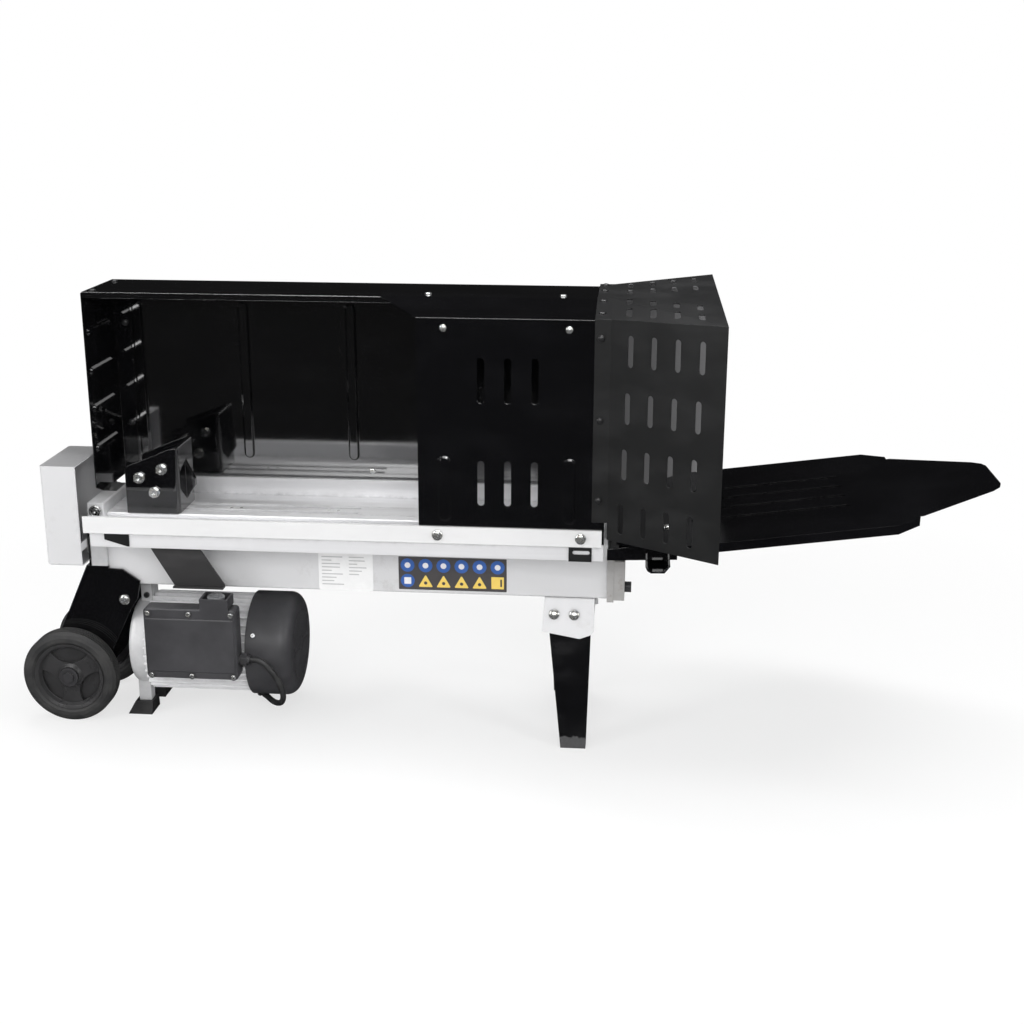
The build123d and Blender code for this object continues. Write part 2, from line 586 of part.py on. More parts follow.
def hood_side(side, eaves, slotted):
    """One side of the hood, bent from one sheet: mounting strip, then the flare."""
    bend, end = Vector(HOOD_BEND, side * (HOOD_NEAR + SHEET), 0), Vector(HOOD_END, side * HOOD_FAR, 0)
    along = (end - bend).normalized()
    inwards = Vector(side * along.Y, -side * along.X, 0)
    inner_bend = bend + (Vector(0, -side, 0) + inwards) * (SHEET / (1 - side * inwards.Y))
    inner_end = inner_bend + along * ((HOOD_END - inner_bend.X) / along.X)
    corners = (Vector(HOOD_START, bend.Y, 0), bend, end, inner_end, inner_bend,
               Vector(HOOD_START, side * HOOD_NEAR, 0))
    profile = ((HOOD_START, 356), (HOOD_BEND, 356), (HOOD_BEND, HOOD_LOW_START), (HOOD_END, HOOD_LOW_END),
               (HOOD_END, HOOD_TOP), (HOOD_BEND, eaves), (HOOD_START, eaves))
    sheet = plate_xy([(p.X, p.Y) for p in corners], (300, 700)) & plate_xz(profile, (-300, 300))
    for index in range(16 if slotted else 0):
        row, column = divmod(index, 4)
        centre = bend + (end - bend) * (0.179 + 0.206 * column - 0.0177 * row)
        centre += Vector(0, 0, 606.6 + 2.6 * column - 80.0 * row)
        sheet -= Plane(origin=centre, x_dir=along, z_dir=inwards).location * slot(44.3, 10, 10)
    return sheet


def outlet_hood():
    """Hood that widens towards the outlet: two flared sides and a folded roof; the far side is plain."""
    near, far = HOOD_NEAR + SHEET, HOOD_FAR
    level = ((HOOD_START, LAP_EDGE), (HOOD_START, near), (HOOD_BEND, near), (HOOD_END, far),
             (HOOD_END, -far), (HOOD_BEND, LAP_EDGE))
    flat = [(x, y, HOOD_TOP) for x, y in level]
    fold = ((HOOD_BEND, -near, HOOD_EAVES), (HOOD_BEND, LAP_EDGE, HOOD_TOP), (HOOD_END, -far, HOOD_TOP))
    fall = ((HOOD_START, -near, HOOD_EAVES), (HOOD_START, LAP_EDGE, HOOD_TOP),
            (HOOD_BEND, LAP_EDGE, HOOD_TOP), (HOOD_BEND, -near, HOOD_EAVES))
    roof = [extrude(polygon(corners), SHEET, (0, 0, -1)) for corners in (flat, fold, fall)]
    hood = roof[0] + roof[1] + roof[2] + hood_side(-1, HOOD_EAVES, True) + hood_side(1, HOOD_TOP, False)
    for column, x in enumerate((791.0, 824.0, 856.0, 888.0)):
        for y in (42.0 + 17.0 * column, 106.0 + 22.0 * column):
            for side in (-1, 1):
                hood -= place((x, side * y, HOOD_TOP), (0, 0, 1)) * slot(44, 8.5, 20)
    for point, axis, grip in HOOD_BOLTS:
        hood -= hole(point, axis, grip, SMALL_BOLT + 0.1)
    return hood


# ---- catch tray ----
def tray_z(x):
    return TRAY_Z + (x - TRAY_START) * TRAY_RISE


def catch_tray():
    """Rising catch tray with hemmed sides; its tapered tip is lapped under it and rises a little more."""
    outline = [(TRAY_START, -TRAY_HALF_START), (TRAY_FLARE, -TRAY_HALF), (TRAY_BEVEL, -TRAY_HALF),
               (TRAY_BEND - 6, -TRAY_BEND_HALF - 4)]
    near = [(x, y, tray_z(x)) for x, y in outline]
    far = [(x, -y, z) for x, y, z in reversed(near)]
    below = (1000, 0, 0)
    sheet = facet(near + far, below, 2.0)
    for start, end in zip(near, near[1:]):
        hem = [start, end, (*end[:2], end[2] - TRAY_HEM), (*start[:2], start[2] - TRAY_HEM)]
        sheet += facet(hem, (1000, 0, 300), 2.0)
        sheet += facet([(x, -y, z) for x, y, z in hem], (1000, 0, 300), 2.0)
    bend_z = tray_z(TRAY_BEND - 6) - 1.2
    half = TRAY_BEND_HALF - 6
    bend = [(TRAY_BEND - 20, -half), (TRAY_BEND, -half), (1309, -76), (1321, -62), (TRAY_TIP, -48),
            (TRAY_TIP, 48), (1321, 62), (1309, 76), (TRAY_BEND, half), (TRAY_BEND - 20, half)]
    rise = tan(radians(9.0))
    sheet += facet([(x, y, bend_z + (x - TRAY_BEND + 6) * rise) for x, y in bend], below, 2.0)
    for y in (-75.0, -25.0, 25.0, 75.0):
        axis = Vector(1, 0, TRAY_RISE).normalized()
        up = Vector(-TRAY_RISE, 0, 1).normalized()
        middle = Vector(1000, y, tray_z(1000)) - up * 2.0
        face = Plane(origin=middle, x_dir=axis.cross(up * -1), z_dir=up * -1).location
        swelling, hollow = bead(230, 14, 3.5)
        groove = extrude(Rot(0, 0, 90) * SlotOverall(226, 10), -4)
        sheet = sheet + face * swelling - face * hollow - face * groove
    for point, axis, grip in TRAY_BOLTS:
        sheet -= hole(point, axis, 8, 3.1)
    return sheet


TRAY_BOLTS = [((x, y, tray_z(x)), (-TRAY_RISE, 0, 1), 5.2) for x in (800.0, 852.0) for y in (-92.0, 92.0)]


def tray_bracket():
    """Folded carrier under the tray's foot; it stands on the beam's inner end plate."""
    start, end = BEAM_END + 0.2, 868
    drop = TRAY_HEM + 2.5
    side = ((start, 300), (end, 304), (end, tray_z(end) - drop), (start, tray_z(start) - drop))
    near = plate_xz(side, (-121, -118))
    floor = plate_xz(((start, 300), (end, 304), (end, 307), (start, 303)), (-121, 121))
    carrier = near + mirror_y(near) + floor
    carrier -= block((800, 850), (-70, 70), (290, 320))
    for y in (-92.0, 92.0):
        ends = ((790, 302), (862, 305), (862, tray_z(862) - 2.1), (790, tray_z(790) - 2.1))
        carrier += plate_xz(ends, (y - 9, y + 9)) - plate_xz(
            ((793, 306), (859, 309), (859, tray_z(859) - 5.2), (793, tray_z(793) - 5.2)), (y - 9, y + 9))
    carrier += block((start, 777.8), (-48, 48), (281, 303))
    for point, axis, grip in TRAY_BOLTS:
        carrier -= hole(point, axis, 5.3, 3.1)
    return carrier


def lift_handle():
    """Bent gutter-shaped grip across the machine, for lifting it by the tray end."""
    profile = ((823, 302.0), (826, 296), (831, 293), (850, 293.5), (858, 303.6), (855, 303.4), (848, 296.5),
               (833, 296), (828, 299), (826, 302.2))
    return plate_xz(profile, (-152, 152))


# ---- wheels ----
def wheel_bracket():
    """Welded bracket: two side plates, a web on the valve block and a cross tube."""
    side = ((-26, 245), (BED_START - 0.2, 245), (BED_START - 0.2, 241), (30, 240), (56, 222), (50, 193),
            (38, 175), (-14, 68), (-32, 47), (-78, 47), (-104, 75), (-70, 148))
    near = plate_xz(side, (-BRACKET_OUT, -BRACKET_IN))
    bracket = near + mirror_y(near)
    bracket += block((-21, -18.1), (-BRACKET_OUT, BRACKET_OUT), (180, 322))
    top = block((-26, BED_START - 0.2), (-BRACKET_OUT, BRACKET_OUT), (242, 245))
    bracket += top - block((-12.2, 6.2), (-11.2, 11.2), (230, 250))
    bracket += block((-76, -70), (-BRACKET_IN, BRACKET_IN), (86, 130))
    bracket -= bar_y(WHEEL_X, (-60, 60), WHEEL_RADIUS, AXLE_RADIUS)
    for point, axis, grip in WEB_BOLTS:
        bracket -= hole(point, axis, 3, 4.1)
    bracket -= bar_y(30, (-60, 60), 191, 4.1)
    return bracket


WEB_BOLTS = [((-21.0, y, z), (-1, 0, 0), 17.0) for y in (-38.0, 14.0) for z in (265.0, 300.0)]


def axle():
    reach = WHEEL_IN + WHEEL_WIDTH - 2
    shaft = bar_y(WHEEL_X, (-reach, reach), WHEEL_RADIUS, AXLE_RADIUS)
    for side in (-1, 1):
        collar = sorted((side * (BRACKET_OUT + 0.1), side * (WHEEL_IN - 0.6)))
        shaft += bar_y(WHEEL_X, collar, WHEEL_RADIUS, 10)
    return shaft


def wheel_place(side, outline):
    """Turns a (distance from the middle plane, radius) outline round the axle."""
    points = [(WHEEL_X, side * y, WHEEL_RADIUS + r) for y, r in outline]
    line = Axis((WHEEL_X, 0, WHEEL_RADIUS), (0, 1, 0))
    return revolve(polygon(points), line, 360)


def tyre(side):
    """Solid rubber tyre with rounded shoulders and three tread grooves."""
    low, high, r = WHEEL_IN, WHEEL_IN + WHEEL_WIDTH, WHEEL_RADIUS
    outline = [(low + 3, 54), (high - 3, 54), (high, 58), (high, r - 9), (high - 2, r - 4), (high - 6, r)]
    for groove in (high - 10, (low + high) / 2, low + 10):
        outline += [(groove + 1.4, r), (groove + 0.8, r - 2), (groove - 0.8, r - 2), (groove - 1.4, r)]
    outline += [(low + 6, r), (low + 2, r - 4), (low, r - 9), (low, 58)]
    return wheel_place(side, outline)


def hub(side):
    """Moulded wheel centre: rim, dished web with three lobed recesses, and boss."""
    low, high = WHEEL_IN, WHEEL_IN + WHEEL_WIDTH
    outline = [(low, AXLE_RADIUS + RUNNING), (high - 4, AXLE_RADIUS + RUNNING), (high - 4, 16),
               (high - 8, 20), (high - 10, 46), (high - 4, 49), (high - 2, 53.9), (low + 2, 53.9),
               (low + 4, 48), (low + 12, 46), (low + 10, 20), (low, 16)]
    centre = wheel_place(side, outline)
    face = side * (high - 4)
    for turn in range(3):
        angle = pi / 2 + turn * 2 * pi / 3
        x, z = WHEEL_X + 55.7 * cos(angle), WHEEL_RADIUS + 55.7 * sin(angle)
        recess = bar_y(x, sorted((face, face - side * 11)), z, 35.3)
        recess &= bar_y(WHEEL_X, sorted((face, face - side * 11)), WHEEL_RADIUS, 45.5)
        centre -= recess
    return centre


def cap(side):
    """Press-on cap over the axle's end, with a hexagon boss."""
    high = WHEEL_IN + WHEEL_WIDTH
    disc = bar_y(WHEEL_X, sorted((side * (high - 3.9), side * (high - 0.5))), WHEEL_RADIUS, 14.5)
    plane = Plane(origin=(WHEEL_X, side * (high - 0.5), WHEEL_RADIUS), z_dir=(0, side, 0))
    disc += plane.location * extrude(RegularPolygon(9, 6), 2.5)
    return disc - bar_y(WHEEL_X, sorted((side * 40, side * (high - 1.9))), WHEEL_RADIUS, AXLE_RADIUS + 0.1)


# ---- legs ----
def splay_y(z):
    return BEAM_HALF + (BEAM_BOTTOM - z) * SPLAY


def splay_plate(outline, offset, thickness):
    """A plate on the near leg's leaning plane; `offset` moves it inwards."""
    corners = [(x, -splay_y(z) + offset, z) for x, z in outline]
    return facet(corners, (700, 400, 100), thickness)


def leg_bracket():
    """Folded saddle under the beam whose two ears lean outwards with the legs."""
    ear = ((675, 214), (750, 214), (750, 169), (746, 163), (729, 157), (672, 166))
    saddle = block((675, 750), (-BEAM_HALF, BEAM_HALF), (BEAM_BOTTOM - 3, BEAM_BOTTOM))
    near = splay_plate(ear, 0, 3)
    web = plate_yz(((-BEAM_HALF, 212), (BEAM_HALF, 212), (57, 190), (-57, 190)), (747, 750))
    saddle = saddle + near + half_turn(near) + web
    for point, axis, grip in LEG_BOLTS:
        saddle -= hole(point, axis, 4, 4.1)
    return saddle


LEG_AXIS = (0, -cos(atan(SPLAY)), sin(atan(SPLAY)))
LEG_BOLTS = []
for bolt_x in (690.0, 720.0):
    LEG_BOLTS.append(((bolt_x, -splay_y(191), 191), LEG_AXIS, 6.4))
    LEG_BOLTS.append(((2 * LEG_MIDDLE - bolt_x, splay_y(191), 191), (0, -LEG_AXIS[1], LEG_AXIS[2]), 6.4))


def leg():
    """Near leg: a tapered sheet leg with a folded edge on each side, cut level with the floor."""
    top, foot = 206.0, -3.0
    outline = ((LEG_TOP_X[0], top), (LEG_TOP_X[1] - 1, top), (LEG_FOOT_X[1], foot), (LEG_FOOT_X[0], foot))
    sheet = splay_plate(outline, 3.2, 3)
    lip_top = top - 45
    for (x0, z0), (x1, z1) in ((outline[0], outline[3]), (outline[1], outline[2])):
        start = x0 + (x1 - x0) * (z0 - lip_top) / (z0 - z1)
        step = 3 if x0 < LEG_MIDDLE else -3
        lip = ((start, lip_top), (start + step, lip_top), (x1 + step, z1), (x1, z1))
        sheet += splay_plate(lip, 6, 14)
    for point, axis, grip in LEG_BOLTS:
        sheet -= hole(point, axis, 8, 4.1)
    return sheet - block((600, 800), (-300, 300), (-30, 0))


def rubber_feet():
    """Two rubber feet on the motor's cast posts."""
    feet = []
    for y in POST_Y:
        low = Pos(PAD_X, y, 0) * Rectangle(38, 40)
        high = Pos(PAD_X + 6, y, 20) * Rectangle(28, 30)
        pad = loft([low, high])
        pad -= block(POST_X, (y - 9, y + 9), (6, 20))
        feet.append(pad)
    return feet


# ---- motor ----
POST_X, POST_Y = (38.0, 57.0), (-34.0, 34.0)
PAD_X = 41.0


def round_motor(x, radius):
    return bar_x(x, 0, MOTOR_Z, radius)


def motor_housing():
    """Finned aluminium motor body with the wall that seats the fan-end bearing."""
    length = (HOUSING_START, COWL_START + 8)
    body = round_motor(length, MOTOR_RADIUS - 7)
    for index in range(36):
        angle = 2 * pi * index / 36
        fin = Pos((length[0] + length[1]) / 2, 0, MOTOR_Z) * Rot(degrees(angle), 0, 0)
        body += fin * Pos(0, 0, MOTOR_RADIUS - 5) * Box(length[1] - length[0], 2.4, 10)
    body -= round_motor(length, MOTOR_RADIUS - 12)
    body += round_motor((COWL_START - 14, COWL_START - 1), MOTOR_RADIUS - 11)
    body -= round_motor((COWL_START - 12.2, COWL_START - 1), 17.5)
    body -= round_motor((COWL_START - 14, COWL_START), SHAFT_RADIUS + 1)
    for point, axis, grip in BOX_SCREWS + COWL_SCREWS:
        body -= hole(point, axis, grip, 2.1)
    return body


def end_bell():
    """Cast drive-end bell with the lug on the beam, two foot posts and room for the pump."""
    wall = BELL_START + BELL_WALL
    outline = [(BELL_START, 0), (BELL_START, 63), (BELL_START + 1.5, 66.5), (BELL_START + 5, 69), (45, 70),
               (HOUSING_START, 70), (HOUSING_START, 64), (52, 60), (44, 57),
               (wall, PUMP_RADIUS + 1), (wall, 0)]
    face = polygon([(x, 0, MOTOR_Z + r) for x, r in outline])
    bell = revolve(face, Axis((0, 0, MOTOR_Z), (1, 0, 0)), 360)
    for y in POST_Y:
        bell += block(POST_X, (y - 8.9, y + 8.9), (6, 62))
    return bell + block((43, HOUSING_START - 0.2), (-16, 16), (168, BEAM_BOTTOM))


def bearings():
    rings = []
    for x in (BEARING_SEAT + 0.2, COWL_START - 12):
        ring = round_motor((x, x + 11), 17.45) - round_motor((x, x + 11), SHAFT_RADIUS + RUNNING)
        for side in (x, x + 10):
            ring -= round_motor((side, side + 1), 14.5) - round_motor((side, side + 1), 11)
        rings.append(ring)
    return rings


def stator():
    """Laminated stator ring with winding heads."""
    core = round_motor((70, 180), MOTOR_RADIUS - 12.2) - round_motor((70, 180), 38)
    heads = round_motor((58, 192), 58) - round_motor((58, 192), 42)
    return core + heads


def rotor():
    """Cage rotor on its shaft, which drives the pump at one end and the fan at the other."""
    shaft = round_motor((PUMP_GEAR[0] - 2, 250), SHAFT_RADIUS)
    return shaft + round_motor((72, 178), 37.4)


def fan():
    """Radial cooling fan with straight blades."""
    disc = round_motor((228, 231), 62) + round_motor((224, 246), 15)
    for index in range(9):
        blade = Pos(238, 0, MOTOR_Z) * Rot(40 * index, 0, 0) * Pos(0, 0, 38)
        disc += blade * Box(15, 2.2, 47)
    return disc - round_motor((220, 250), SHAFT_RADIUS)


def fan_cowl():
    """Plastic fan cowl with a rounded end and a grille of slots; the shaft bearing end is open."""
    cowl = round_motor((COWL_START, COWL_END), COWL_RADIUS)
    cowl = fillet(cowl.edges().group_by(Axis.X)[-1], 18)
    hollow = round_motor((COWL_START, COWL_END - COWL_WALL), COWL_RADIUS - COWL_WALL)
    cowl -= fillet(hollow.edges().group_by(Axis.X)[-1], 15)
    for y in range(-52, 53, 8):
        half = sqrt(56 ** 2 - y ** 2) - 2
        for low, high in ((-half, -3), (3, half)):
            if abs(y) < 48:
                cowl -= block((COWL_END - 5, COWL_END + 1), (y - 2.2, y + 2.2),
                              (MOTOR_Z + low, MOTOR_Z + high))
    cowl += round_motor((COWL_END - COWL_WALL, COWL_END), 12)
    gap = COWL_RADIUS - COWL_WALL - MOTOR_RADIUS
    for index in range(4):
        spoke = Pos(COWL_START + 4, 0, MOTOR_Z) * Rot(45 + 90 * index, 0, 0)
        cowl += spoke * Pos(0, 0, MOTOR_RADIUS + gap / 2 + 0.1) * Box(8, 16, gap + 0.2)
    for point, axis, grip in COWL_SCREWS:
        cowl -= hole(point, axis, grip, 2.1)
    return cowl


COWL_SCREWS = [((232.0, -COWL_RADIUS * cos(radians(a)), MOTOR_Z + COWL_RADIUS * sin(radians(a))),
                (0, -cos(radians(a)), sin(radians(a))), 4.0) for a in (28.0, 148.0, 268.0)]


# ---- switch box ----
BOX_X, BOX_Y, BOX_Z = (76.5, 217.0), (-110.0, -80.0), (87.5, 199.5)
BOX_LID = 8.0
BOX_SCREWS = [((x, BOX_Y[0] - 1.0, z), (0, -1, 0), 12.0) for x in (84.0, 146.0, 210.0) for z in (92.5, 192.0)]


def junction_box():
    """Switch and capacitor box on a pedestal that sits against the round motor body."""
    case = block(BOX_X, (BOX_Y[0] + BOX_LID, BOX_Y[1]), BOX_Z)
    case = fillet(case.edges().filter_by(Axis.Y), 6)
    case = fillet(case.edges().group_by(Axis.Y)[-1], 4)
    case += block((100, 195), (BOX_Y[1] - 1, -50), (84, 131))
    cavity = block((BOX_X[0] + 3, BOX_X[1] - 3), (BOX_Y[0] + BOX_LID, BOX_Y[1] - 3),
                   (BOX_Z[0] + 3, BOX_Z[1] - 3))
    case -= fillet(cavity.edges().filter_by(Axis.Y), 4)
    case -= round_motor(BOX_X, MOTOR_RADIUS + 0.2)
    for point, axis, grip in BOX_SCREWS:
        x, z = point[0], point[2]
        case += bar_y(x, (BOX_Y[0] + BOX_LID, BOX_Y[1] - 2), z, 5) & block(BOX_X, (-200, 0), BOX_Z)
        case -= hole(point, axis, grip + 10, 2.1)
    case -= bar_x((BOX_X[1] - 4, BOX_X[1] + 1), GLAND_Y, GLAND_Z, 7.1)
    return case - bar_z(BUTTON_X, BUTTON_Y, (BOX_Z[1] - 5, BOX_Z[1] + 1), STEM_RADIUS + RUNNING)


def box_cover():
    """Lid of the switch box with a raised field and the shroud that stands round the button."""
    lid = block(BOX_X, (BOX_Y[0], BOX_Y[0] + BOX_LID), BOX_Z)
    lid = fillet(lid.edges().filter_by(Axis.Y), 6)
    lid = chamfer(lid.edges().group_by(Axis.Y)[0], 2)
    field = block((BOX_X[0] + 3, BOX_X[1] - 3), (BOX_Y[0] - 1.5, BOX_Y[0] + 1), (98.5, 184))
    lid += chamfer(field.edges().group_by(Axis.Y)[0], 1.4)
    cavity = block((BOX_X[0] + 4, BOX_X[1] - 4), (BOX_Y[0] + 3, BOX_Y[0] + BOX_LID),
                   (BOX_Z[0] + 4, BOX_Z[1] - 4))
    lid -= fillet(cavity.edges().filter_by(Axis.Y), 3)
    shroud = block(SHROUD_X, (SHROUD_Y[0], SHROUD_Y[0] + BOX_LID), (BOX_Z[1] - 3, SHROUD_TOP))
    shroud += block(SHROUD_X, SHROUD_Y, (SHROUD_FLOOR - 3, SHROUD_TOP))
    shroud -= block((SHROUD_X[0] + 3, SHROUD_X[1] - 3), (SHROUD_Y[0] + 3, SHROUD_Y[1] - 3),
                    (SHROUD_FLOOR, SHROUD_TOP))
    lid += shroud
    lid -= bar_z(BUTTON_X, BUTTON_Y, (BOX_Z[1] - 15, SHROUD_TOP), STEM_RADIUS + RUNNING)
    for point, axis, grip in BOX_SCREWS:
        x, z = point[0], point[2]
        lid += bar_y(x, (BOX_Y[0] - 1, BOX_Y[0] + BOX_LID), z, 5) & block(BOX_X, (-200, 0), BOX_Z)
        lid -= hole(point, axis, grip + 10, 2.1)
    return lid


SHROUD_X, SHROUD_Y = (163.5, 206.5), (-110.0, -76.0)
SHROUD_FLOOR, SHROUD_TOP = BOX_Z[1] + 3.1, 216.0
BUTTON_X, BUTTON_Y = 185.0, -93.0
BUTTON_TRAVEL = 4.0
STEM_RADIUS = 8.0


def push_button():
    """Start button: clear cap on a stem that goes down through the shroud's floor."""
    low = SHROUD_FLOOR + BUTTON_TRAVEL + 0.9
    cap_top = bar_z(BUTTON_X, BUTTON_Y, (low, low + 10), 13.5)
    cap_top = fillet(cap_top.edges().group_by(Axis.Z)[-1], 3.5)
    return cap_top + bar_z(BUTTON_X, BUTTON_Y, (BOX_Z[1] - 6, low + 1), STEM_RADIUS)


GLAND_Y, GLAND_Z = -92.5, 115.0
GLAND_X = BOX_X[1] - 6


def cable_gland():
    body = bar_x((GLAND_X, GLAND_X + 6), GLAND_Y, GLAND_Z, 7)
    body += bar_x((GLAND_X + 6, GLAND_X + 9), GLAND_Y, GLAND_Z, 9)
    nut = Plane(origin=(GLAND_X + 9, GLAND_Y, GLAND_Z), z_dir=(1, 0, 0))
    body += nut.location * extrude(RegularPolygon(10, 6), 8)
    body += bar_x((GLAND_X + 17, GLAND_X + 21), GLAND_Y, GLAND_Z, 7.5)
    return body - bar_x((GLAND_X, GLAND_X + 21), GLAND_Y, GLAND_Z, 4.6)


def cable():
    """Supply cable hanging in an arc from the gland, then away under the cowl and along the floor."""
    start = Vector(GLAND_X + 24, GLAND_Y, GLAND_Z)
    straight = Line((GLAND_X + 1, GLAND_Y, GLAND_Z), start)
    hang = Spline((start, (254, -95, 110), (268, -96, 94), (277.5, -95, 75), (280, -91, 57),
                   (275, -82, 43), (262, -64, 33), (247, -38, 26), (232, -8, 19), (218, 28, 11),
                   (206, 64, 6), (198, 98, 4.8)), tangents=((1, 0, 0), (-0.2, 1, 0)))
    path = straight + hang
    return sweep(Plane(origin=path @ 0, z_dir=path % 0) * Circle(4.5), path=path)


# ---- pump ----
BELL_WALL = 5.0
PUMP_GEAR = (42.0, 52.0)
PUMP_START, PUMP_END, PUMP_RADIUS = BELL_START + BELL_WALL + 0.1, 54.5, 50.0
BEARING_SEAT, SEAT_END = 56.0, 67.3
STUB_RADIUS = 7.0


def gear(axis_z, phase):
    """Involute spur gear whose teeth lie along X; `phase` turns it, in tooth pitches."""
    pitch = GEAR_TEETH * GEAR_MODULE / 2
    base = pitch * cos(radians(20))
    tip, root = pitch + 0.8 * GEAR_MODULE, pitch - 1.15 * GEAR_MODULE
    flank_start = max(base, root)
    involute = sqrt((pitch / base) ** 2 - 1) - acos(base / pitch)
    half = pi / (2 * GEAR_TEETH) - 0.012 + involute
    points = []
    for tooth in range(GEAR_TEETH):
        centre = 2 * pi * (tooth + phase) / GEAR_TEETH
        flank = []
        for step in range(6):
            r = flank_start + (tip - flank_start) * step / 5
            roll = sqrt(max(0.0, (r / base) ** 2 - 1))
            flank.append((r, half - (roll - atan(roll))))
        flank.insert(0, (root, flank[0][1]))
        points += [(r, centre - a) for r, a in flank]
        points += [(r, centre + a) for r, a in reversed(flank)]
    outline = [(r * cos(a), axis_z + r * sin(a)) for r, a in points]
    return plate_yz(outline, PUMP_GEAR)


def drive_gear():
    return gear(MOTOR_Z, 0.0) - round_motor((PUMP_GEAR[0] - 1, PUMP_GEAR[1] + 1), SHAFT_RADIUS)


def driven_gear():
    """Second pump gear with its own short shaft, half a tooth out of step so that they mesh."""
    z = MOTOR_Z - GEAR_CENTRES
    return gear(z, 0.5) + bar_x((PUMP_START + 1, PUMP_END), 0, z, STUB_RADIUS)


def pump_body():
    """Round gear pump inside the bell; the boss at its back seats the drive-end bearing."""
    low = MOTOR_Z - GEAR_CENTRES
    body = round_motor((PUMP_START, PUMP_END), PUMP_RADIUS) + round_motor((PUMP_END, SEAT_END), 24)
    tip = GEAR_TEETH * GEAR_MODULE / 2 + 0.8 * GEAR_MODULE + 0.1
    for z in (MOTOR_Z, low):
        body -= bar_x((PUMP_GEAR[0] - 0.1, PUMP_GEAR[1] + 0.1), 0, z, tip)
    body -= bar_x((PUMP_START, SEAT_END), 0, MOTOR_Z, SHAFT_RADIUS + RUNNING)
    body -= round_motor((BEARING_SEAT, SEAT_END), 17.5)
    return body - bar_x((PUMP_START, PUMP_END), 0, low, STUB_RADIUS + RUNNING)


def switch_shield():
    """Slanted sheet apron hanging from the bed in front of the start button's reach."""
    side = ((88, 311), (164, 311), (165, 290), (200, 235), (200, 231), (124, 231), (90, 290))
    apron = plate_xz(side, (-95, -92.5))
    foot = plate_xz(((124, 231), (200, 231), (200, 233.5), (124, 233.5)), (-106, -92.5))
    tab = block((88, 164), (-95, -72), (308.5, 311))
    return apron + foot + tab


# ---- fasteners ----
def frame_bolts():
    """All the zinc-plated bolts of the frame: dome bolts in sheet, hexagon bolts in castings."""
    bolts = [dome_bolt(point, axis, grip, nut=True) for point, axis, grip in RAIL_BOLTS]
    bolts += [dome_bolt(point, axis, grip, nut=True) for point, axis, grip in LEG_BOLTS]
    for group in (HOOD_BOLTS, TOP_BOLTS, END_BOLTS, BACK_BOLTS, STAY_BOLTS):
        bolts += [dome_bolt(point, axis, grip, SMALL_BOLT) for point, axis, grip in group]
    bolts += [dome_bolt(point, axis, grip, 3.0) for point, axis, grip in TRAY_BOLTS]
    bolts += [hex_bolt(point, axis, grip, 5.0) for point, axis, grip in END_PLATE_BOLTS]
    bolts += [hex_bolt(point, axis, grip) for point, axis, grip in WEB_BOLTS + wedge_bolts()]
    for side in (-1, 1):
        bolts.append(dome_bolt((30, side * BRACKET_OUT, 191), (0, side, 0), BRACKET_OUT - BRACKET_IN))
    return bolts


def small_screws():
    """Cross-head screws of the switch box and cowl, and the bed's countersunk screws."""
    screws = [small_screw(point, axis, grip) for point, axis, grip in BOX_SCREWS + COWL_SCREWS]
    for point in TABLE_SCREWS:
        head = Cylinder(2.55, 5, align=(Align.CENTER, Align.CENTER, Align.MAX))
        shank = Cylinder(2, 20, align=(Align.CENTER, Align.CENTER, Align.MAX))
        screws.append(Pos(*point) * (head + shank))
    for x in LEVER_SCREW_X:
        screws.append(small_screw((x, 59, LEVER_FOOT_Z), (0, 1, 0), 14, 2.95))
    return screws


def main():
    os.makedirs("parts", exist_ok=True)
    single = {
        "table": table, "beam": beam, "dipstick": dipstick, "wedge": wedge, "end_block": end_block,
        "valve_plug": valve_plug, "spool": spool, "lever_bracket": lever_bracket,
        "control_lever": control_lever, "lever_knob": lever_knob, "end_cover": end_cover,
        "cylinder_tube": cylinder_tube, "gland": gland, "piston": piston, "piston_seal": piston_seal,
        "piston_rod": piston_rod, "drive_yoke": drive_yoke, "pusher": pusher, "guard_back": guard_back,
        "guard_end": guard_end, "guard_front": guard_front, "outlet_hood": outlet_hood,
        "catch_tray": catch_tray, "tray_bracket": tray_bracket, "lift_handle": lift_handle,
        "wheel_bracket": wheel_bracket, "axle": axle, "leg_bracket": leg_bracket,
        "motor_housing": motor_housing, "end_bell": end_bell,
        "stator": stator, "rotor": rotor, "fan": fan, "fan_cowl": fan_cowl, "junction_box": junction_box,
        "box_cover": box_cover, "push_button": push_button, "cable_gland": cable_gland, "cable": cable,
        "switch_shield": switch_shield, "pump_body": pump_body, "drive_gear": drive_gear,
        "driven_gear": driven_gear,
    }
    for name, make in single.items():
        put(name, make())
    groups = {
        "side_rails": side_rails, "table_brackets": table_brackets, "pusher_bolts": pusher_bolts,
        "rubber_feet": rubber_feet, "bearings": bearings, "frame_bolts": frame_bolts,
        "small_screws": small_screws,
    }
    for name, make in groups.items():
        put(name, Compound(make()))
    put("inner_end_plate", end_plate((BEAM_END, OUTER_PLATE[0]), 55, (211, 281), False))
    put("outer_end_plate", end_plate(OUTER_PLATE, 54, (214, 277), True))
    near_leg = leg()
    put("front_leg", near_leg)
    put("rear_leg", half_turn(near_leg))
    for side, name in ((-1, "front"), (1, "rear")):
        put(f"{name}_tyre", tyre(side))
        put(f"{name}_hub", hub(side))
        put(f"{name}_cap", cap(side))


main()
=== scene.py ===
import json
import math

import bmesh
import bpy
from mathutils import Matrix, Vector


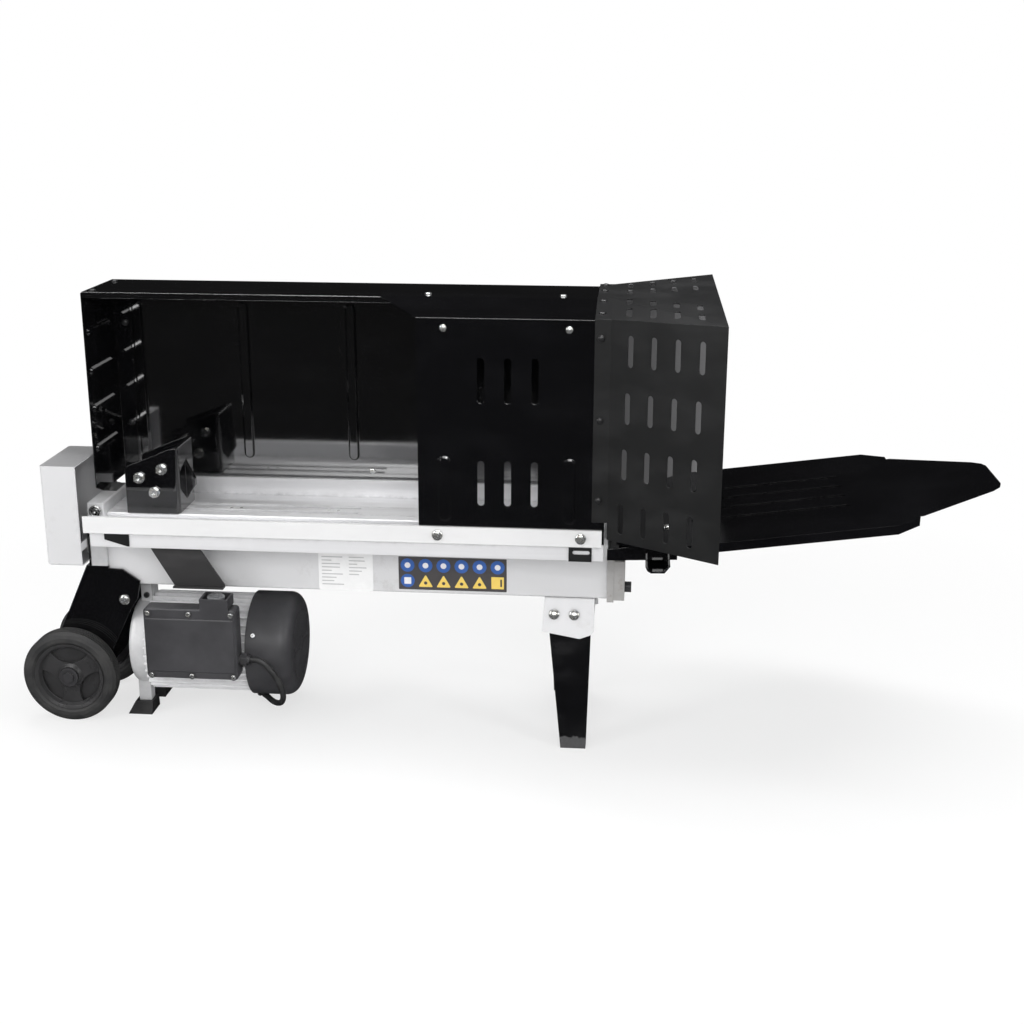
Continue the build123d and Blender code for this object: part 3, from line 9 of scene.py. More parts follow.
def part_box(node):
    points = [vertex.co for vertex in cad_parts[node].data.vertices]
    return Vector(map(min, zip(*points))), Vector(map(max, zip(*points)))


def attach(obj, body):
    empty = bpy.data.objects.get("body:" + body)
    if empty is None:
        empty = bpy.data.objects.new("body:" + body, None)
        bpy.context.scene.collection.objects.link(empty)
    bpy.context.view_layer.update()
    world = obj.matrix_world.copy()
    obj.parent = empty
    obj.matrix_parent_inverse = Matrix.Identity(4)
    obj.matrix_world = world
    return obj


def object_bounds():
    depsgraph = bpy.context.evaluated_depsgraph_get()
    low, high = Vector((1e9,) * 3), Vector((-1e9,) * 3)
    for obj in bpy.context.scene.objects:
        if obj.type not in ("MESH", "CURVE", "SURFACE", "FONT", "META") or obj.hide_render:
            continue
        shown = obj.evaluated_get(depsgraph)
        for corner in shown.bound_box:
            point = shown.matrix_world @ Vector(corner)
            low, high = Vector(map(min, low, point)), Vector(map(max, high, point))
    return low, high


# Looks of the log splitter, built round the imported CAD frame. Metres, +X to the catch tray, +Z up.

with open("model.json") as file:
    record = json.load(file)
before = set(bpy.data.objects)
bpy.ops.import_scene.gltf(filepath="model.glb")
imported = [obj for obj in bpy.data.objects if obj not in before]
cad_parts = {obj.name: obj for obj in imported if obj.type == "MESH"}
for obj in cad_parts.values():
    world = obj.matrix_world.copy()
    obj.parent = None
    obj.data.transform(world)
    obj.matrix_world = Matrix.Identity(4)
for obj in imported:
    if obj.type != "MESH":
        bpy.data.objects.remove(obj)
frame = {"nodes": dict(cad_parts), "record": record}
CAD_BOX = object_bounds()
NODES = frame["nodes"]
MM = 0.001


# ---- node graphs ----
class Nodes:
    """Short calls for the few nodes that every shader here needs."""

    def __init__(self, tree):
        self.tree = tree

    def add(self, kind, **settings):
        node = self.tree.nodes.new(kind)
        for key, value in settings.items():
            setattr(node, key, value)
        return node

    def feed(self, socket, value):
        """Links a socket to another node's output, or sets it to a plain value."""
        if isinstance(value, bpy.types.NodeSocket):
            self.tree.links.new(value, socket)
        elif isinstance(value, (tuple, list)) and len(value) == 3 and len(socket.default_value) == 4:
            socket.default_value = (*value, 1.0)
        else:
            socket.default_value = value

    def span(self, value, low, high, to_low=0.0, to_high=1.0):
        """Maps low..high to to_low..to_high, clamped."""
        node = self.add("ShaderNodeMapRange", clamp=True)
        for key, item in (("Value", value), ("From Min", low), ("From Max", high),
                          ("To Min", to_low), ("To Max", to_high)):
            self.feed(node.inputs[key], item)
        return node.outputs["Result"]

    def calc(self, operation, a, b):
        node = self.add("ShaderNodeMath", operation=operation)
        self.feed(node.inputs[0], a)
        self.feed(node.inputs[1], b)
        return node.outputs[0]

    def part(self, vector, axis):
        """One coordinate of a vector."""
        split = self.add("ShaderNodeSeparateXYZ")
        self.feed(split.inputs[0], vector)
        return split.outputs[axis]


class Graph(Nodes):
    """Builds one material. Patterns use the piece's own coordinates, so they move with it."""

    def __init__(self, name):
        self.material = bpy.data.materials.new(name)
        self.material.use_nodes = True
        super().__init__(self.material.node_tree)
        self.surface = self.tree.nodes["Principled BSDF"]
        self.place = self.add("ShaderNodeTexCoord").outputs["Object"]

    def set(self, **values):
        """Sets inputs of the surface, such as Base_Color=..."""
        for key, value in values.items():
            self.feed(self.surface.inputs[key.replace("_", " ")], value)
        return self

    def stretch(self, x, y, z):
        """Object coordinates squeezed along some axes, for brushed or dripping patterns."""
        mapping = self.add("ShaderNodeMapping")
        self.feed(mapping.inputs["Vector"], self.place)
        mapping.inputs["Scale"].default_value = (x, y, z)
        return mapping.outputs["Vector"]

    def noise(self, scale, detail=3.0, roughness=0.5, where=None):
        """Cloudy pattern, about 0.3 to 0.7, with `scale` waves to the metre."""
        node = self.add("ShaderNodeTexNoise")
        self.feed(node.inputs["Vector"], where or self.place)
        node.inputs["Scale"].default_value = scale
        node.inputs["Detail"].default_value = detail
        node.inputs["Roughness"].default_value = roughness
        return node.outputs["Fac"]

    def cells(self, scale):
        """How far off the middle of the nearest cell is, with about `scale` cells to the metre."""
        node = self.add("ShaderNodeTexVoronoi")
        self.feed(node.inputs["Vector"], self.place)
        node.inputs["Scale"].default_value = scale
        return node.outputs["Distance"]

    def mix(self, share, a, b, strength=None):
        """Blends from colour `a` to `b` by `share`, scaled by `strength` where one is given."""
        if strength is not None:
            share = self.calc("MULTIPLY", share, strength)
        node = self.add("ShaderNodeMix", data_type="RGBA")
        self.feed(node.inputs["Factor"], share)
        self.feed(node.inputs[6], a)
        self.feed(node.inputs[7], b)
        return node.outputs[2]

    def along(self, axis):
        """Coordinate of the shaded point along one axis, in metres."""
        return self.part(self.place, axis)

    def facing(self, axis):
        """Part of the surface's normal along one axis."""
        return self.part(self.add("ShaderNodeNewGeometry").outputs["Normal"], axis)

    def rounded(self, radius):
        """Normal with the edges rounded off by `radius` millimetres."""
        node = self.add("ShaderNodeBevel", samples=4)
        node.inputs["Radius"].default_value = radius * MM
        return node.outputs["Normal"]

    def edges(self, radius):
        """1 on edges, to about `radius` millimetres from them, and 0 on flat stretches."""
        flat = self.add("ShaderNodeNewGeometry").outputs["Normal"]
        dot = self.add("ShaderNodeVectorMath", operation="DOT_PRODUCT")
        self.feed(dot.inputs[0], flat)
        self.feed(dot.inputs[1], self.rounded(radius))
        return self.span(dot.outputs["Value"], 0.99, 0.80)

    def crevices(self, reach):
        """1 in the open, less in corners within `reach` millimetres."""
        node = self.add("ShaderNodeAmbientOcclusion", samples=4)
        node.inputs["Distance"].default_value = reach * MM
        return node.outputs["AO"]

    def dust_and_shade_in_corners(self, reach, opening, scale, patches, roughness):
        """Patchy mask in corners, from ambient occlusion and noise: dust where it lightens a colour,
        painted shade where it darkens one. Each pair is the value where there's none, then where it's full.
        """
        corners = self.span(self.crevices(reach), *opening)
        return self.calc("MULTIPLY", corners, self.span(self.noise(scale, 5, roughness), *patches))

    def relief(self, height, depth, under=None):
        """Normal bumped by a height of `depth` millimetres, on top of the normal `under`."""
        node = self.add("ShaderNodeBump")
        node.inputs["Distance"].default_value = depth * MM
        self.feed(node.inputs["Height"], height)
        if under is not None:
            self.feed(node.inputs["Normal"], under)
        return node.outputs["Normal"]


# ---- materials ----
def scuffed_foot(g, base, roughness):
    """Paint rubbed dull where a leg stands on the ground, with a ragged upper edge."""
    top, ragged, fade = 17 * MM, 2 * MM, 2 * MM
    height = g.calc("ADD", g.along("Z"), g.span(g.noise(140, 4, 0.7), 0.3, 0.7, -ragged, ragged))
    patches = g.span(g.noise(260, 5, 0.7), 0.25, 0.6, 0.5, 1.0)
    scuff = g.calc("MULTIPLY", g.span(height, top, top - fade), patches)
    base = g.mix(scuff, base, (0.10, 0.10, 0.105), 0.5)
    return base, g.calc("ADD", roughness, g.calc("MULTIPLY", scuff, 0.35))


def lit_far_wall(g, base, roughness):
    """Painted light on the inside of the hood's far wall, which shows through the near openings: it is made
    paler and rougher.
    """
    towards_user = g.span(g.facing("Y"), -0.5, -0.8)
    far_wall = g.calc("MULTIPLY", towards_user, g.span(g.along("Y"), 40 * MM, 50 * MM))
    # Painted light: the inside of the far wall is lightened towards pale grey.
    base = g.mix(far_wall, base, (0.20, 0.20, 0.205), 0.8)
    return base, g.calc("ADD", roughness, g.calc("MULTIPLY", far_wall, 0.2))


def powder_black(name, colour, rough, peel, haze, ior=2.0, fold=0.9, front_ior=None, extra=None):
    """Black stoved paint: slight orange peel, a few dull wiped patches, dust in the corners.

    `peel` and `fold` are the depth of the peel and the rounding of edges in millimetres, `haze` is how much
    rougher the wiped patches are, `front_ior` is for faces towards the user, and `extra` adds more: wear on
    the legs, painted light on the hood's far wall.
    """
    g = Graph(name)
    wipes = g.span(g.noise(9, 4, 0.6, g.stretch(1, 1, 2.5)), 0.46, 0.74)
    specks = g.span(g.cells(260), 0.09, 0.03)
    sparse = g.calc("MULTIPLY", specks, g.span(g.noise(45, 2), 0.60, 0.66))
    dust = g.dust_and_shade_in_corners(12, (0.85, 0.35), 60, (0.35, 0.7), 0.65)
    worn = g.calc("MULTIPLY", g.edges(0.8), g.span(g.noise(120, 4, 0.6), 0.5, 0.75))
    base = g.mix(wipes, colour, [c * 1.5 + 0.001 for c in colour])
    base = g.mix(sparse, base, (0.22, 0.22, 0.22), 0.15)
    base = g.mix(dust, base, (0.16, 0.15, 0.14), 0.05)
    base = g.mix(worn, base, (0.14, 0.14, 0.145), 0.30)
    roughness = g.span(wipes, 0, 1, rough, rough + haze)
    if extra is not None:
        base, roughness = extra(g, base, roughness)
    if front_ior is not None:
        ior = g.span(g.facing("Y"), -0.5, -0.8, ior, front_ior)
    normal = g.relief(g.noise(420, 2), peel, g.rounded(fold))
    return g.set(Base_Color=base, Roughness=roughness, Normal=normal, IOR=ior).material


def silver_paint(name, top_shade=0.0):
    """Silver-grey paint with fine flake and faint runs along X; `top_shade` is how much painted shade
    darkens its top faces.
    """
    g = Graph(name)
    colour = (0.68, 0.68, 0.69)
    flake = g.span(g.cells(2600), 0.1, 0.6, 0.93, 1.05)
    cloud = g.span(g.noise(5, 5, 0.6, g.stretch(0.5, 1, 1.6)), 0.35, 0.7, 0.95, 1.03)
    tone = g.calc("MULTIPLY", flake, cloud)
    tinted = g.mix(tone, [c * 0.2 for c in colour], colour)
    grime = g.calc("MULTIPLY", g.span(g.noise(28, 6, 0.7), 0.56, 0.72), g.span(g.noise(6, 3), 0.45, 0.65))
    # Painted shade: corners darkened in patches towards dark grey.
    corner = g.dust_and_shade_in_corners(9, (0.9, 0.45), 80, (0.3, 0.75), 0.6)
    base = g.mix(grime, tinted, (0.20, 0.17, 0.14), 0.28)
    base = g.mix(corner, base, (0.10, 0.09, 0.085), 0.35)
    # Painted shade: faces turned upwards are darkened towards grey.
    base = g.mix(g.span(g.facing("Z"), 0.5, 0.9, 0.0, top_shade), base, (0.16, 0.16, 0.165))
    roughness = g.span(g.noise(40, 5, 0.6), 0.3, 0.7, 0.29, 0.46)
    normal = g.relief(g.noise(520, 2), 0.012, g.rounded(0.9))
    return g.set(Base_Color=base, Metallic=0.1, Roughness=roughness, Normal=normal).material


def drawn_aluminium(name):
    """Extruded and brushed bed profile: fine lines and faint bands along X, a few rubbed spots."""
    g = Graph(name)
    lines = g.noise(900, 3, 0.7, g.stretch(0.012, 1, 1))
    bands = g.noise(55, 4, 0.6, g.stretch(0.03, 1, 1))
    rub = g.span(g.noise(14, 6, 0.65, g.stretch(0.6, 1, 1)), 0.55, 0.75)
    tone = g.span(bands, 0.3, 0.7)
    base = g.mix(tone, (0.84, 0.84, 0.855), (0.92, 0.92, 0.935))
    base = g.mix(rub, base, (0.55, 0.54, 0.53), 0.10)
    # Painted shade: corners darkened in patches, strongly, towards near black.
    corner_shade = g.dust_and_shade_in_corners(10, (0.85, 0.35), 70, (0.35, 0.7), 0.65)
    base = g.mix(corner_shade, base, (0.08, 0.075, 0.07), 0.6)
    roughness = g.calc("ADD", g.span(lines, 0.3, 0.7, 0.28, 0.36), g.calc("MULTIPLY", rub, 0.08))
    normal = g.relief(lines, 0.008, g.rounded(1.2))
    g.set(Base_Color=base, Metallic=0.3, Roughness=roughness, Normal=normal, Anisotropic=0.5)
    return g.material


def white_paint(name):
    """Near-white rail paint, a little chipped and grubby along its edges."""
    g = Graph(name)
    cloud = g.span(g.noise(7, 4, 0.6, g.stretch(0.4, 1, 1)), 0.35, 0.7)
    base = g.mix(cloud, (0.67, 0.67, 0.675), (0.74, 0.74, 0.74))
    chips = g.calc("MULTIPLY", g.edges(0.9), g.span(g.noise(160, 5, 0.7), 0.58, 0.66))
    smear = g.span(g.noise(22, 6, 0.7, g.stretch(0.5, 1, 1.5)), 0.60, 0.75)
    base = g.mix(smear, base, (0.52, 0.50, 0.48), 0.2)
    base = g.mix(chips, base, (0.30, 0.30, 0.30), 0.7)
    roughness = g.span(g.noise(60, 4), 0.3, 0.7, 0.28, 0.42)
    return g.set(Base_Color=base, Roughness=roughness,
                 Normal=g.relief(g.noise(480, 2), 0.012, g.rounded(0.6))).material


def cast_aluminium(name, low, high, metallic):
    """Raw die-cast aluminium: grainy skin, flow clouds, painted shade in its corners and a painted
    highlight on its edges.
    """
    g = Graph(name)
    cloud = g.span(g.noise(26, 6, 0.65), 0.3, 0.72)
    base = g.mix(cloud, (low, low, low * 1.015), (high, high, high * 1.012))
    # Painted shade: corners darkened in patches.
    dark = g.dust_and_shade_in_corners(9, (0.9, 0.35), 90, (0.25, 0.7), 0.6)
    base = g.mix(dark, base, (0.08, 0.075, 0.07), 0.6)
    pits = g.span(g.cells(700), 0.12, 0.4)
    grain = g.calc("ADD", g.calc("MULTIPLY", g.noise(650, 4, 0.7), 0.7), g.calc("MULTIPLY", pits, 0.3))
    roughness = g.span(g.noise(55, 5, 0.6), 0.3, 0.7, 0.38, 0.58)
    # Painted highlight: edges lightened towards pale aluminium.
    edge_highlighted = g.mix(g.edges(0.8), base, (0.88, 0.88, 0.89), 0.5)
    return g.set(Base_Color=edge_highlighted, Metallic=metallic, Roughness=roughness,
                 Normal=g.relief(grain, 0.10, g.rounded(0.9))).material


def bare_steel(name, colour, rust=0.5, rough=0.36, shine=0.4):
    """Machined steel with tool lines and a first bloom of rust."""
    g = Graph(name)
    lines = g.noise(500, 3, 0.6, g.stretch(1, 0.05, 1))
    tone = g.mix(g.span(g.noise(30, 5, 0.6), 0.3, 0.7), [c * 0.8 for c in colour], colour)
    bloom = g.calc("MULTIPLY", g.span(g.noise(38, 7, 0.72), 0.54, 0.68), rust)
    base = g.mix(bloom, tone, (0.16, 0.075, 0.035))
    metal = g.span(bloom, 0, 0.6, shine, 0.2)
    tooled = g.span(lines, 0.3, 0.7, rough - 0.06, rough + 0.06)
    roughness = g.calc("ADD", tooled, g.calc("MULTIPLY", bloom, 0.35))
    return g.set(Base_Color=base, Metallic=metal, Roughness=roughness,
                 Normal=g.relief(lines, 0.015, g.rounded(0.6))).material


def zinc(name):
    """Bright zinc plating with a straw tint; the bolts of the hood and of the guard's end are black."""
    g = Graph(name)
    tint = g.mix(g.span(g.noise(140, 4, 0.6), 0.3, 0.7), (0.72, 0.75, 0.80), (0.80, 0.78, 0.70))
    dull = g.span(g.noise(260, 4, 0.7), 0.45, 0.7)
    base = g.mix(dull, tint, (0.48, 0.48, 0.47), 0.35)
    # Painted shade in the crevices.
    corner_shade = g.span(g.crevices(2.5), 0.8, 0.3)
    base = g.mix(corner_shade, base, (0.07, 0.065, 0.06), 0.6)
    hood, end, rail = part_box("outlet_hood"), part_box("guard_end"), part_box("side_rails")
    past_hood = g.span(g.along("X"), hood[0].x, hood[0].x + MM)
    over_rail = g.span(g.along("Z"), rail[1].z + 10 * MM, rail[1].z + 12 * MM)
    near_end = g.span(g.along("X"), end[1].x + 2 * MM, end[1].x)
    black = g.calc("MULTIPLY", over_rail, g.calc("MAXIMUM", past_hood, near_end))
    base = g.mix(black, base, (0.018, 0.018, 0.019))
    return g.set(Base_Color=base, Metallic=g.span(black, 0, 1, 0.85, 0.0),
                 Roughness=g.calc("ADD", g.span(dull, 0, 1, 0.18, 0.34), g.calc("MULTIPLY", black, 0.1)),
                 Normal=g.relief(g.noise(700, 3), 0.008, g.rounded(0.35))).material


def moulded_plastic(name, colour, rough, grain=0.03, edge=1.2):
    """Black moulded plastic with a spark-eroded grain, paler edges that are partly rubbed wear and partly a
    painted highlight, and painted shade in its hollows.
    """
    g = Graph(name)
    cloud = g.span(g.noise(16, 5, 0.6), 0.35, 0.7)
    base = g.mix(cloud, colour, [c * 1.45 + 0.003 for c in colour])
    # Paler edges: partly rubbed wear and partly a painted highlight.
    rub = g.calc("MULTIPLY", g.edges(edge), g.span(g.noise(70, 4, 0.6), 0.35, 0.7))
    base = g.mix(rub, base, (0.11, 0.11, 0.115), 0.7)
    # Painted shade: hollows darkened almost to black.
    base = g.mix(g.span(g.crevices(5), 0.9, 0.3, 0.0, 0.85), base, (0.003, 0.003, 0.003))
    dust = g.dust_and_shade_in_corners(8, (0.85, 0.4), 90, (0.4, 0.7), 0.7)
    base = g.mix(dust, base, (0.20, 0.19, 0.18), 0.06)
    skin = g.calc("ADD", g.noise(1500, 3, 0.7), g.span(g.cells(1300), 0.1, 0.5, 0, 0.5))
    roughness = g.span(g.noise(34, 4), 0.3, 0.7, rough - 0.05, rough + 0.08)
    normal = g.relief(skin, grain, g.rounded(edge))
    return g.set(Base_Color=base, Roughness=roughness, Normal=normal).material


def tyre_rubber(name):
    """Dull tyre rubber with dust in its corners, paler scuffed edges and painted shade in its hollows."""
    g = Graph(name)
    cloud = g.span(g.noise(30, 6, 0.7), 0.4, 0.7)
    base = g.mix(cloud, (0.022, 0.022, 0.023), (0.045, 0.044, 0.043))
    dust = g.dust_and_shade_in_corners(5, (0.9, 0.4), 120, (0.5, 0.75), 0.7)
    # Painted shade: hollows darkened almost to black.
    base = g.mix(g.span(g.crevices(4), 0.9, 0.4, 0.0, 0.8), base, (0.004, 0.004, 0.004))
    base = g.mix(dust, base, (0.16, 0.145, 0.12), 0.25)
    scuff = g.calc("MULTIPLY", g.edges(1.0), g.span(g.noise(90, 5, 0.7), 0.45, 0.65))
    base = g.mix(scuff, base, (0.12, 0.12, 0.115), 0.4)
    skin = g.noise(800, 4, 0.7)
    return g.set(Base_Color=base, Roughness=g.span(cloud, 0, 1, 0.58, 0.74),
                 Normal=g.relief(skin, 0.06, g.rounded(1.0))).material


def soft_rubber(name):
    """Smooth dark rubber of the pads and the cable, a little blotched."""
    g = Graph(name)
    base = g.mix(g.span(g.noise(40, 5, 0.6), 0.35, 0.7), (0.014, 0.014, 0.015), (0.034, 0.034, 0.034))
    return g.set(Base_Color=base, Roughness=g.span(g.noise(60, 4), 0.3, 0.7, 0.42, 0.58),
                 Normal=g.relief(g.noise(900, 3, 0.7), 0.03, g.rounded(0.8))).material


def clear_grey(name):
    """Smoke-grey clear plastic of the button's cap."""
    g = Graph(name)
    cloud = g.span(g.noise(90, 4, 0.6), 0.35, 0.7)
    base = g.mix(cloud, (0.20, 0.21, 0.22), (0.34, 0.35, 0.36))
    scratch = g.noise(500, 4, 0.7, g.stretch(1, 0.1, 1))
    g.set(Base_Color=base, Roughness=g.span(scratch, 0.3, 0.7, 0.12, 0.28), Transmission_Weight=0.35)
    g.set(Coat_Weight=0.6, Coat_Roughness=0.08, Normal=g.relief(scratch, 0.01, g.rounded(1.0)))
    return g.material


def chrome(name):
    """Hard-chromed rod with a thin film of oil."""
    g = Graph(name)
    film = g.span(g.noise(40, 5, 0.6, g.stretch(0.3, 1, 1)), 0.35, 0.7)
    base = g.mix(film, (0.80, 0.81, 0.83), (0.66, 0.64, 0.58))
    lines = g.noise(900, 3, 0.6, g.stretch(0.05, 1, 1))
    return g.set(Base_Color=base, Metallic=1.0, Roughness=g.span(film, 0, 1, 0.07, 0.16),
                 Normal=g.relief(lines, 0.004, g.rounded(0.5))).material


def paint_nodes():
    """Gives every CAD node the material of its slot in the record, or one of its own."""
    black, satin = (0.003, 0.003, 0.0036), (0.011, 0.0112, 0.0116)
    looks = {
        "bed_paint": drawn_aluminium("bed_aluminium"),
        "beam_paint": silver_paint("beam_silver"),
        "cover_paint": silver_paint("cover_silver", top_shade=0.6),
        "rail_paint": white_paint("rail_white"),
        "bare_aluminium": cast_aluminium("cast_aluminium", 0.64, 0.80, 0.3),
        "bare_steel": bare_steel("bare_steel", (0.60, 0.59, 0.58)),
        "zinc": zinc("zinc_plate"),
        "gloss_black": powder_black("gloss_black", black, 0.05, 0.008, 0.06, fold=1.5),
        "satin_black": powder_black("satin_black", satin, 0.42, 0.030, 0.10, 1.5),
        "black_plastic": moulded_plastic("black_plastic", (0.030, 0.0295, 0.032), 0.44),
        "clear_grey_plastic": clear_grey("clear_grey"),
        "tyre_rubber": tyre_rubber("tyre_rubber"),
        "black_rubber": soft_rubber("soft_rubber"),
        "turned_steel": bare_steel("turned_steel", (0.64, 0.64, 0.64), 0.0, 0.26, 1.0),
        "hard_chrome": chrome("hard_chrome"),
    }
    leg_paint = powder_black("leg_paint", black, 0.08, 0.012, 0.10, 1.6, extra=scuffed_foot)
    hub_plastic = moulded_plastic("hub_plastic", (0.028, 0.0275, 0.0285), 0.28, 0.015)
    box_plastic = moulded_plastic("box_plastic", (0.038, 0.0375, 0.041), 0.40)
    own = {
        "front_leg": leg_paint,
        "rear_leg": leg_paint,
        "guard_back": powder_black("mirror_black", (0.002, 0.002, 0.0024), 0.06, 0.006, 0.04, fold=1.5,
                                   front_ior=3.6),
        "outlet_hood": powder_black("hood_black", satin, 0.42, 0.030, 0.10, 1.5, extra=lit_far_wall),
        "catch_tray": powder_black("tray_black", black, 0.12, 0.008, 0.06, 1.3, 0.5),
        "tray_bracket": looks["gloss_black"],
        # The switch shield gets a paler copy of the black paint: a painted sheen that stands in for what it
        # reflects.
        "switch_shield": powder_black("sheen_painted_black", (0.036, 0.035, 0.036), 0.34, 0.030, 0.12, 1.5),
        # A paler copy of the cast aluminium: painted light for the housing's strongly lit fins.
        "motor_housing": cast_aluminium("lit_housing_aluminium", 0.84, 0.92, 0.05),
        "front_hub": hub_plastic,
        "rear_hub": hub_plastic,
        "junction_box": box_plastic,
        "box_cover": box_plastic,
        "fan_cowl": moulded_plastic("cowl_plastic", (0.042, 0.0415, 0.045), 0.42),
    }
    slots = {row["node"]: row["material_slot"] for row in frame["record"]["subparts"]}
    for name, node in NODES.items():
        node.data.materials.clear()
        node.data.materials.append(own.get(name, looks[slots[name]]))


# ---- shapes ----
def finished(name, mesh, materials):
    """Turns a bmesh into a flat-faced piece of the fixed body, with the materials it is given."""
    bmesh.ops.recalc_face_normals(mesh, faces=mesh.faces)
    data = bpy.data.meshes.new(name)
    mesh.to_mesh(data)
    mesh.free()
    for material in materials:
        data.materials.append(material)
    piece = bpy.data.objects.new(name, data)
    bpy.context.scene.collection.objects.link(piece)
    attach(piece, "root")


def slab(mesh, outline, depths, place, material):
    """Adds a closed slab: an outline in (u, v) between two depths, put in space by `place`."""
    front, back = ([mesh.verts.new(place(u, v, depth)) for u, v in outline] for depth in depths)
    faces = [mesh.faces.new(front), mesh.faces.new(back[::-1])]
    for i, j in zip(range(len(outline)), [*range(1, len(outline)), 0]):
        faces.append(mesh.faces.new((front[i], back[i], back[j], front[j])))
    for face in faces:
        face.material_index = material


def rounded_polygon(corners, radius, steps=5):
    """Outline of a polygon, anticlockwise, whose corners are rounded off."""
    outline = []
    for before, corner, after in zip(corners[-1:] + corners[:-1], corners, corners[1:] + corners[:1]):
        corner = Vector(corner)
        back, on = (Vector(before) - corner).normalized(), (Vector(after) - corner).normalized()
        half = back.angle(on) / 2
        start = corner + back * (radius / math.tan(half))
        centre = corner + (back + on).normalized() * (radius / math.sin(half))
        spoke = start - centre
        for step in range(steps + 1):
            turned = spoke.copy()
            turned.rotate(Matrix.Rotation((math.pi - 2 * half) * step / steps, 2))
            outline.append(tuple(centre + turned))
    return outline


def rectangle(width, height, radius, middle):
    """Outline of a rectangle with rounded corners."""
    (x, y), w, h = middle, width / 2, height / 2
    return rounded_polygon([(x - w, y - h), (x + w, y - h), (x + w, y + h), (x - w, y + h)], radius)


def disc(radius, middle, steps=40):
    """Outline of a circle, or of a regular polygon with few steps."""
    turns = [2 * math.pi * i / steps for i in range(steps)]
    return [(middle[0] + radius * math.cos(t), middle[1] + radius * math.sin(t)) for t in turns]


# ---- small pieces ----
def lug_screw():
    """Black socket screw in the near face of the motor's lug."""
    bell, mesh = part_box("end_bell"), bmesh.new()
    lug_face, from_end, from_top = -16 * MM, 18 * MM, 29 * MM
    head, socket = 4.4 * MM, 2.3 * MM
    centre = (bell[0].x + from_end, bell[1].z - from_top)

    def place(u, v, depth):
        return (u, lug_face - depth, v)

    slab(mesh, disc(head, centre), (-0.5 * MM, 3.4 * MM), place, 0)
    slab(mesh, disc(socket, centre, 6), (3.3 * MM, 3.5 * MM), place, 1)
    oxide = moulded_plastic("black_oxide", (0.02, 0.02, 0.021), 0.3, 0.01, 0.4)
    shade = moulded_plastic("socket_shade", (0.002, 0.002, 0.002), 0.6, 0.01, 0.2)
    finished("lug_screw", mesh, [oxide, shade])


# ---- plates and stickers ----
def flat_print(name, colour):
    """Printed film: a little uneven in tone, with fine scratches in its gloss."""
    g = Graph(name)
    base = g.mix(g.span(g.noise(60, 5, 0.65), 0.35, 0.7), [c * 0.93 for c in colour], colour)
    grime = g.span(g.noise(24, 6, 0.7), 0.58, 0.75)
    base = g.mix(grime, base, (0.30, 0.28, 0.25), 0.15)
    scratch = g.noise(420, 4, 0.7, g.stretch(0.2, 1, 1))
    return g.set(Base_Color=base, Roughness=g.span(scratch, 0.3, 0.7, 0.29, 0.45),
                 Normal=g.relief(scratch, 0.006)).material


def beam_face():
    """Gives the call that puts (u, v, depth) on the beam's near face: u from its left end, v from below."""
    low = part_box("beam")[0]
    return lambda u, v, depth: (low.x + u, low.y - depth, low.z + v)


def type_plate():
    """Blank type plate: white film with ruled bars where a maker would print."""
    place, mesh = beam_face(), bmesh.new()
    width, height, left, bottom = 83 * MM, 59 * MM, 325 * MM, 1 * MM
    bar, first_row, row_step = 1.6 * MM, 0.90, 0.092
    film, print_depths = (-0.1 * MM, 0.35 * MM), (0.3 * MM, 0.42 * MM)
    middle = (left + width / 2, bottom + height / 2)
    slab(mesh, rectangle(width, height, 3 * MM, middle), film, place, 0)
    for column, rows, reach in ((0.06, 9, 0.40), (0.56, 6, 0.34)):
        for row in range(rows):
            length = width * reach * (0.72 + 0.28 * math.cos(row * 2.3 + column * 9))
            u = left + width * column + length / 2
            v = bottom + height * (first_row - row_step * row)
            slab(mesh, rectangle(length, bar, bar / 4, (u, v)), print_depths, place, 1)
    films = [flat_print("plate_white", (0.86, 0.86, 0.86)), flat_print("plate_grey", (0.50, 0.50, 0.51))]
    finished("type_plate", mesh, films)


def safety_sticker():
    """Generic sticker: plain discs over plain triangles on a dark ground, with no lettering."""
    place, mesh = beam_face(), bmesh.new()
    width, height, left, bottom = 163 * MM, 52 * MM, 447 * MM, 6 * MM
    size, corner, columns = 10.5 * MM, 1.2 * MM, 6
    dark, blue, yellow, white = range(4)

    # Depths in front of the beam: the ground starts just inside it, and each layer overlaps the one below.
    ground, lower_layer, top_layer = (-0.1 * MM, 0.3 * MM), (0.2 * MM, 0.4 * MM), (0.3 * MM, 0.5 * MM)

    def mark(outline, material, depths=lower_layer):
        slab(mesh, outline, depths, place, material)

    mark(rectangle(width, height, corner, (left + width / 2, bottom + height / 2)), dark, ground)
    upper, lower = bottom + height * 0.74, bottom + height * 0.27
    for column in range(columns):
        u = left + width * (column + 0.5) / columns
        mark(disc(size, (u, upper)), blue)
        mark(disc(size * 0.42, (u, upper)), white, top_layer)
        if column == 0:
            mark(disc(size, (u, lower)), blue)
            mark(rectangle(size, size, 1 * MM, (u, lower)), white, top_layer)
        elif column == columns - 1:
            mark(rectangle(size * 1.8, size * 1.8, 1 * MM, (u, lower)), yellow)
            mark(rectangle(size * 0.25, size * 1.1, 0.6 * MM, (u + size * 0.5, lower)), dark, top_layer)
        else:
            base, half, tip = lower - size * 0.9, size * 1.05, lower + size * 0.95
            mark(rounded_polygon([(u - half, base), (u + half, base), (u, tip)], corner), yellow)
            mark(disc(size * 0.24, (u, lower - size * 0.3)), dark, top_layer)
    inks = {"ground": (0.075, 0.070, 0.072), "blue": (0.035, 0.12, 0.42), "yellow": (0.86, 0.62, 0.13),
            "white": (0.80, 0.80, 0.82)}
    films = [flat_print("sticker_" + name, colour) for name, colour in inks.items()]
    finished("safety_sticker", mesh, films)


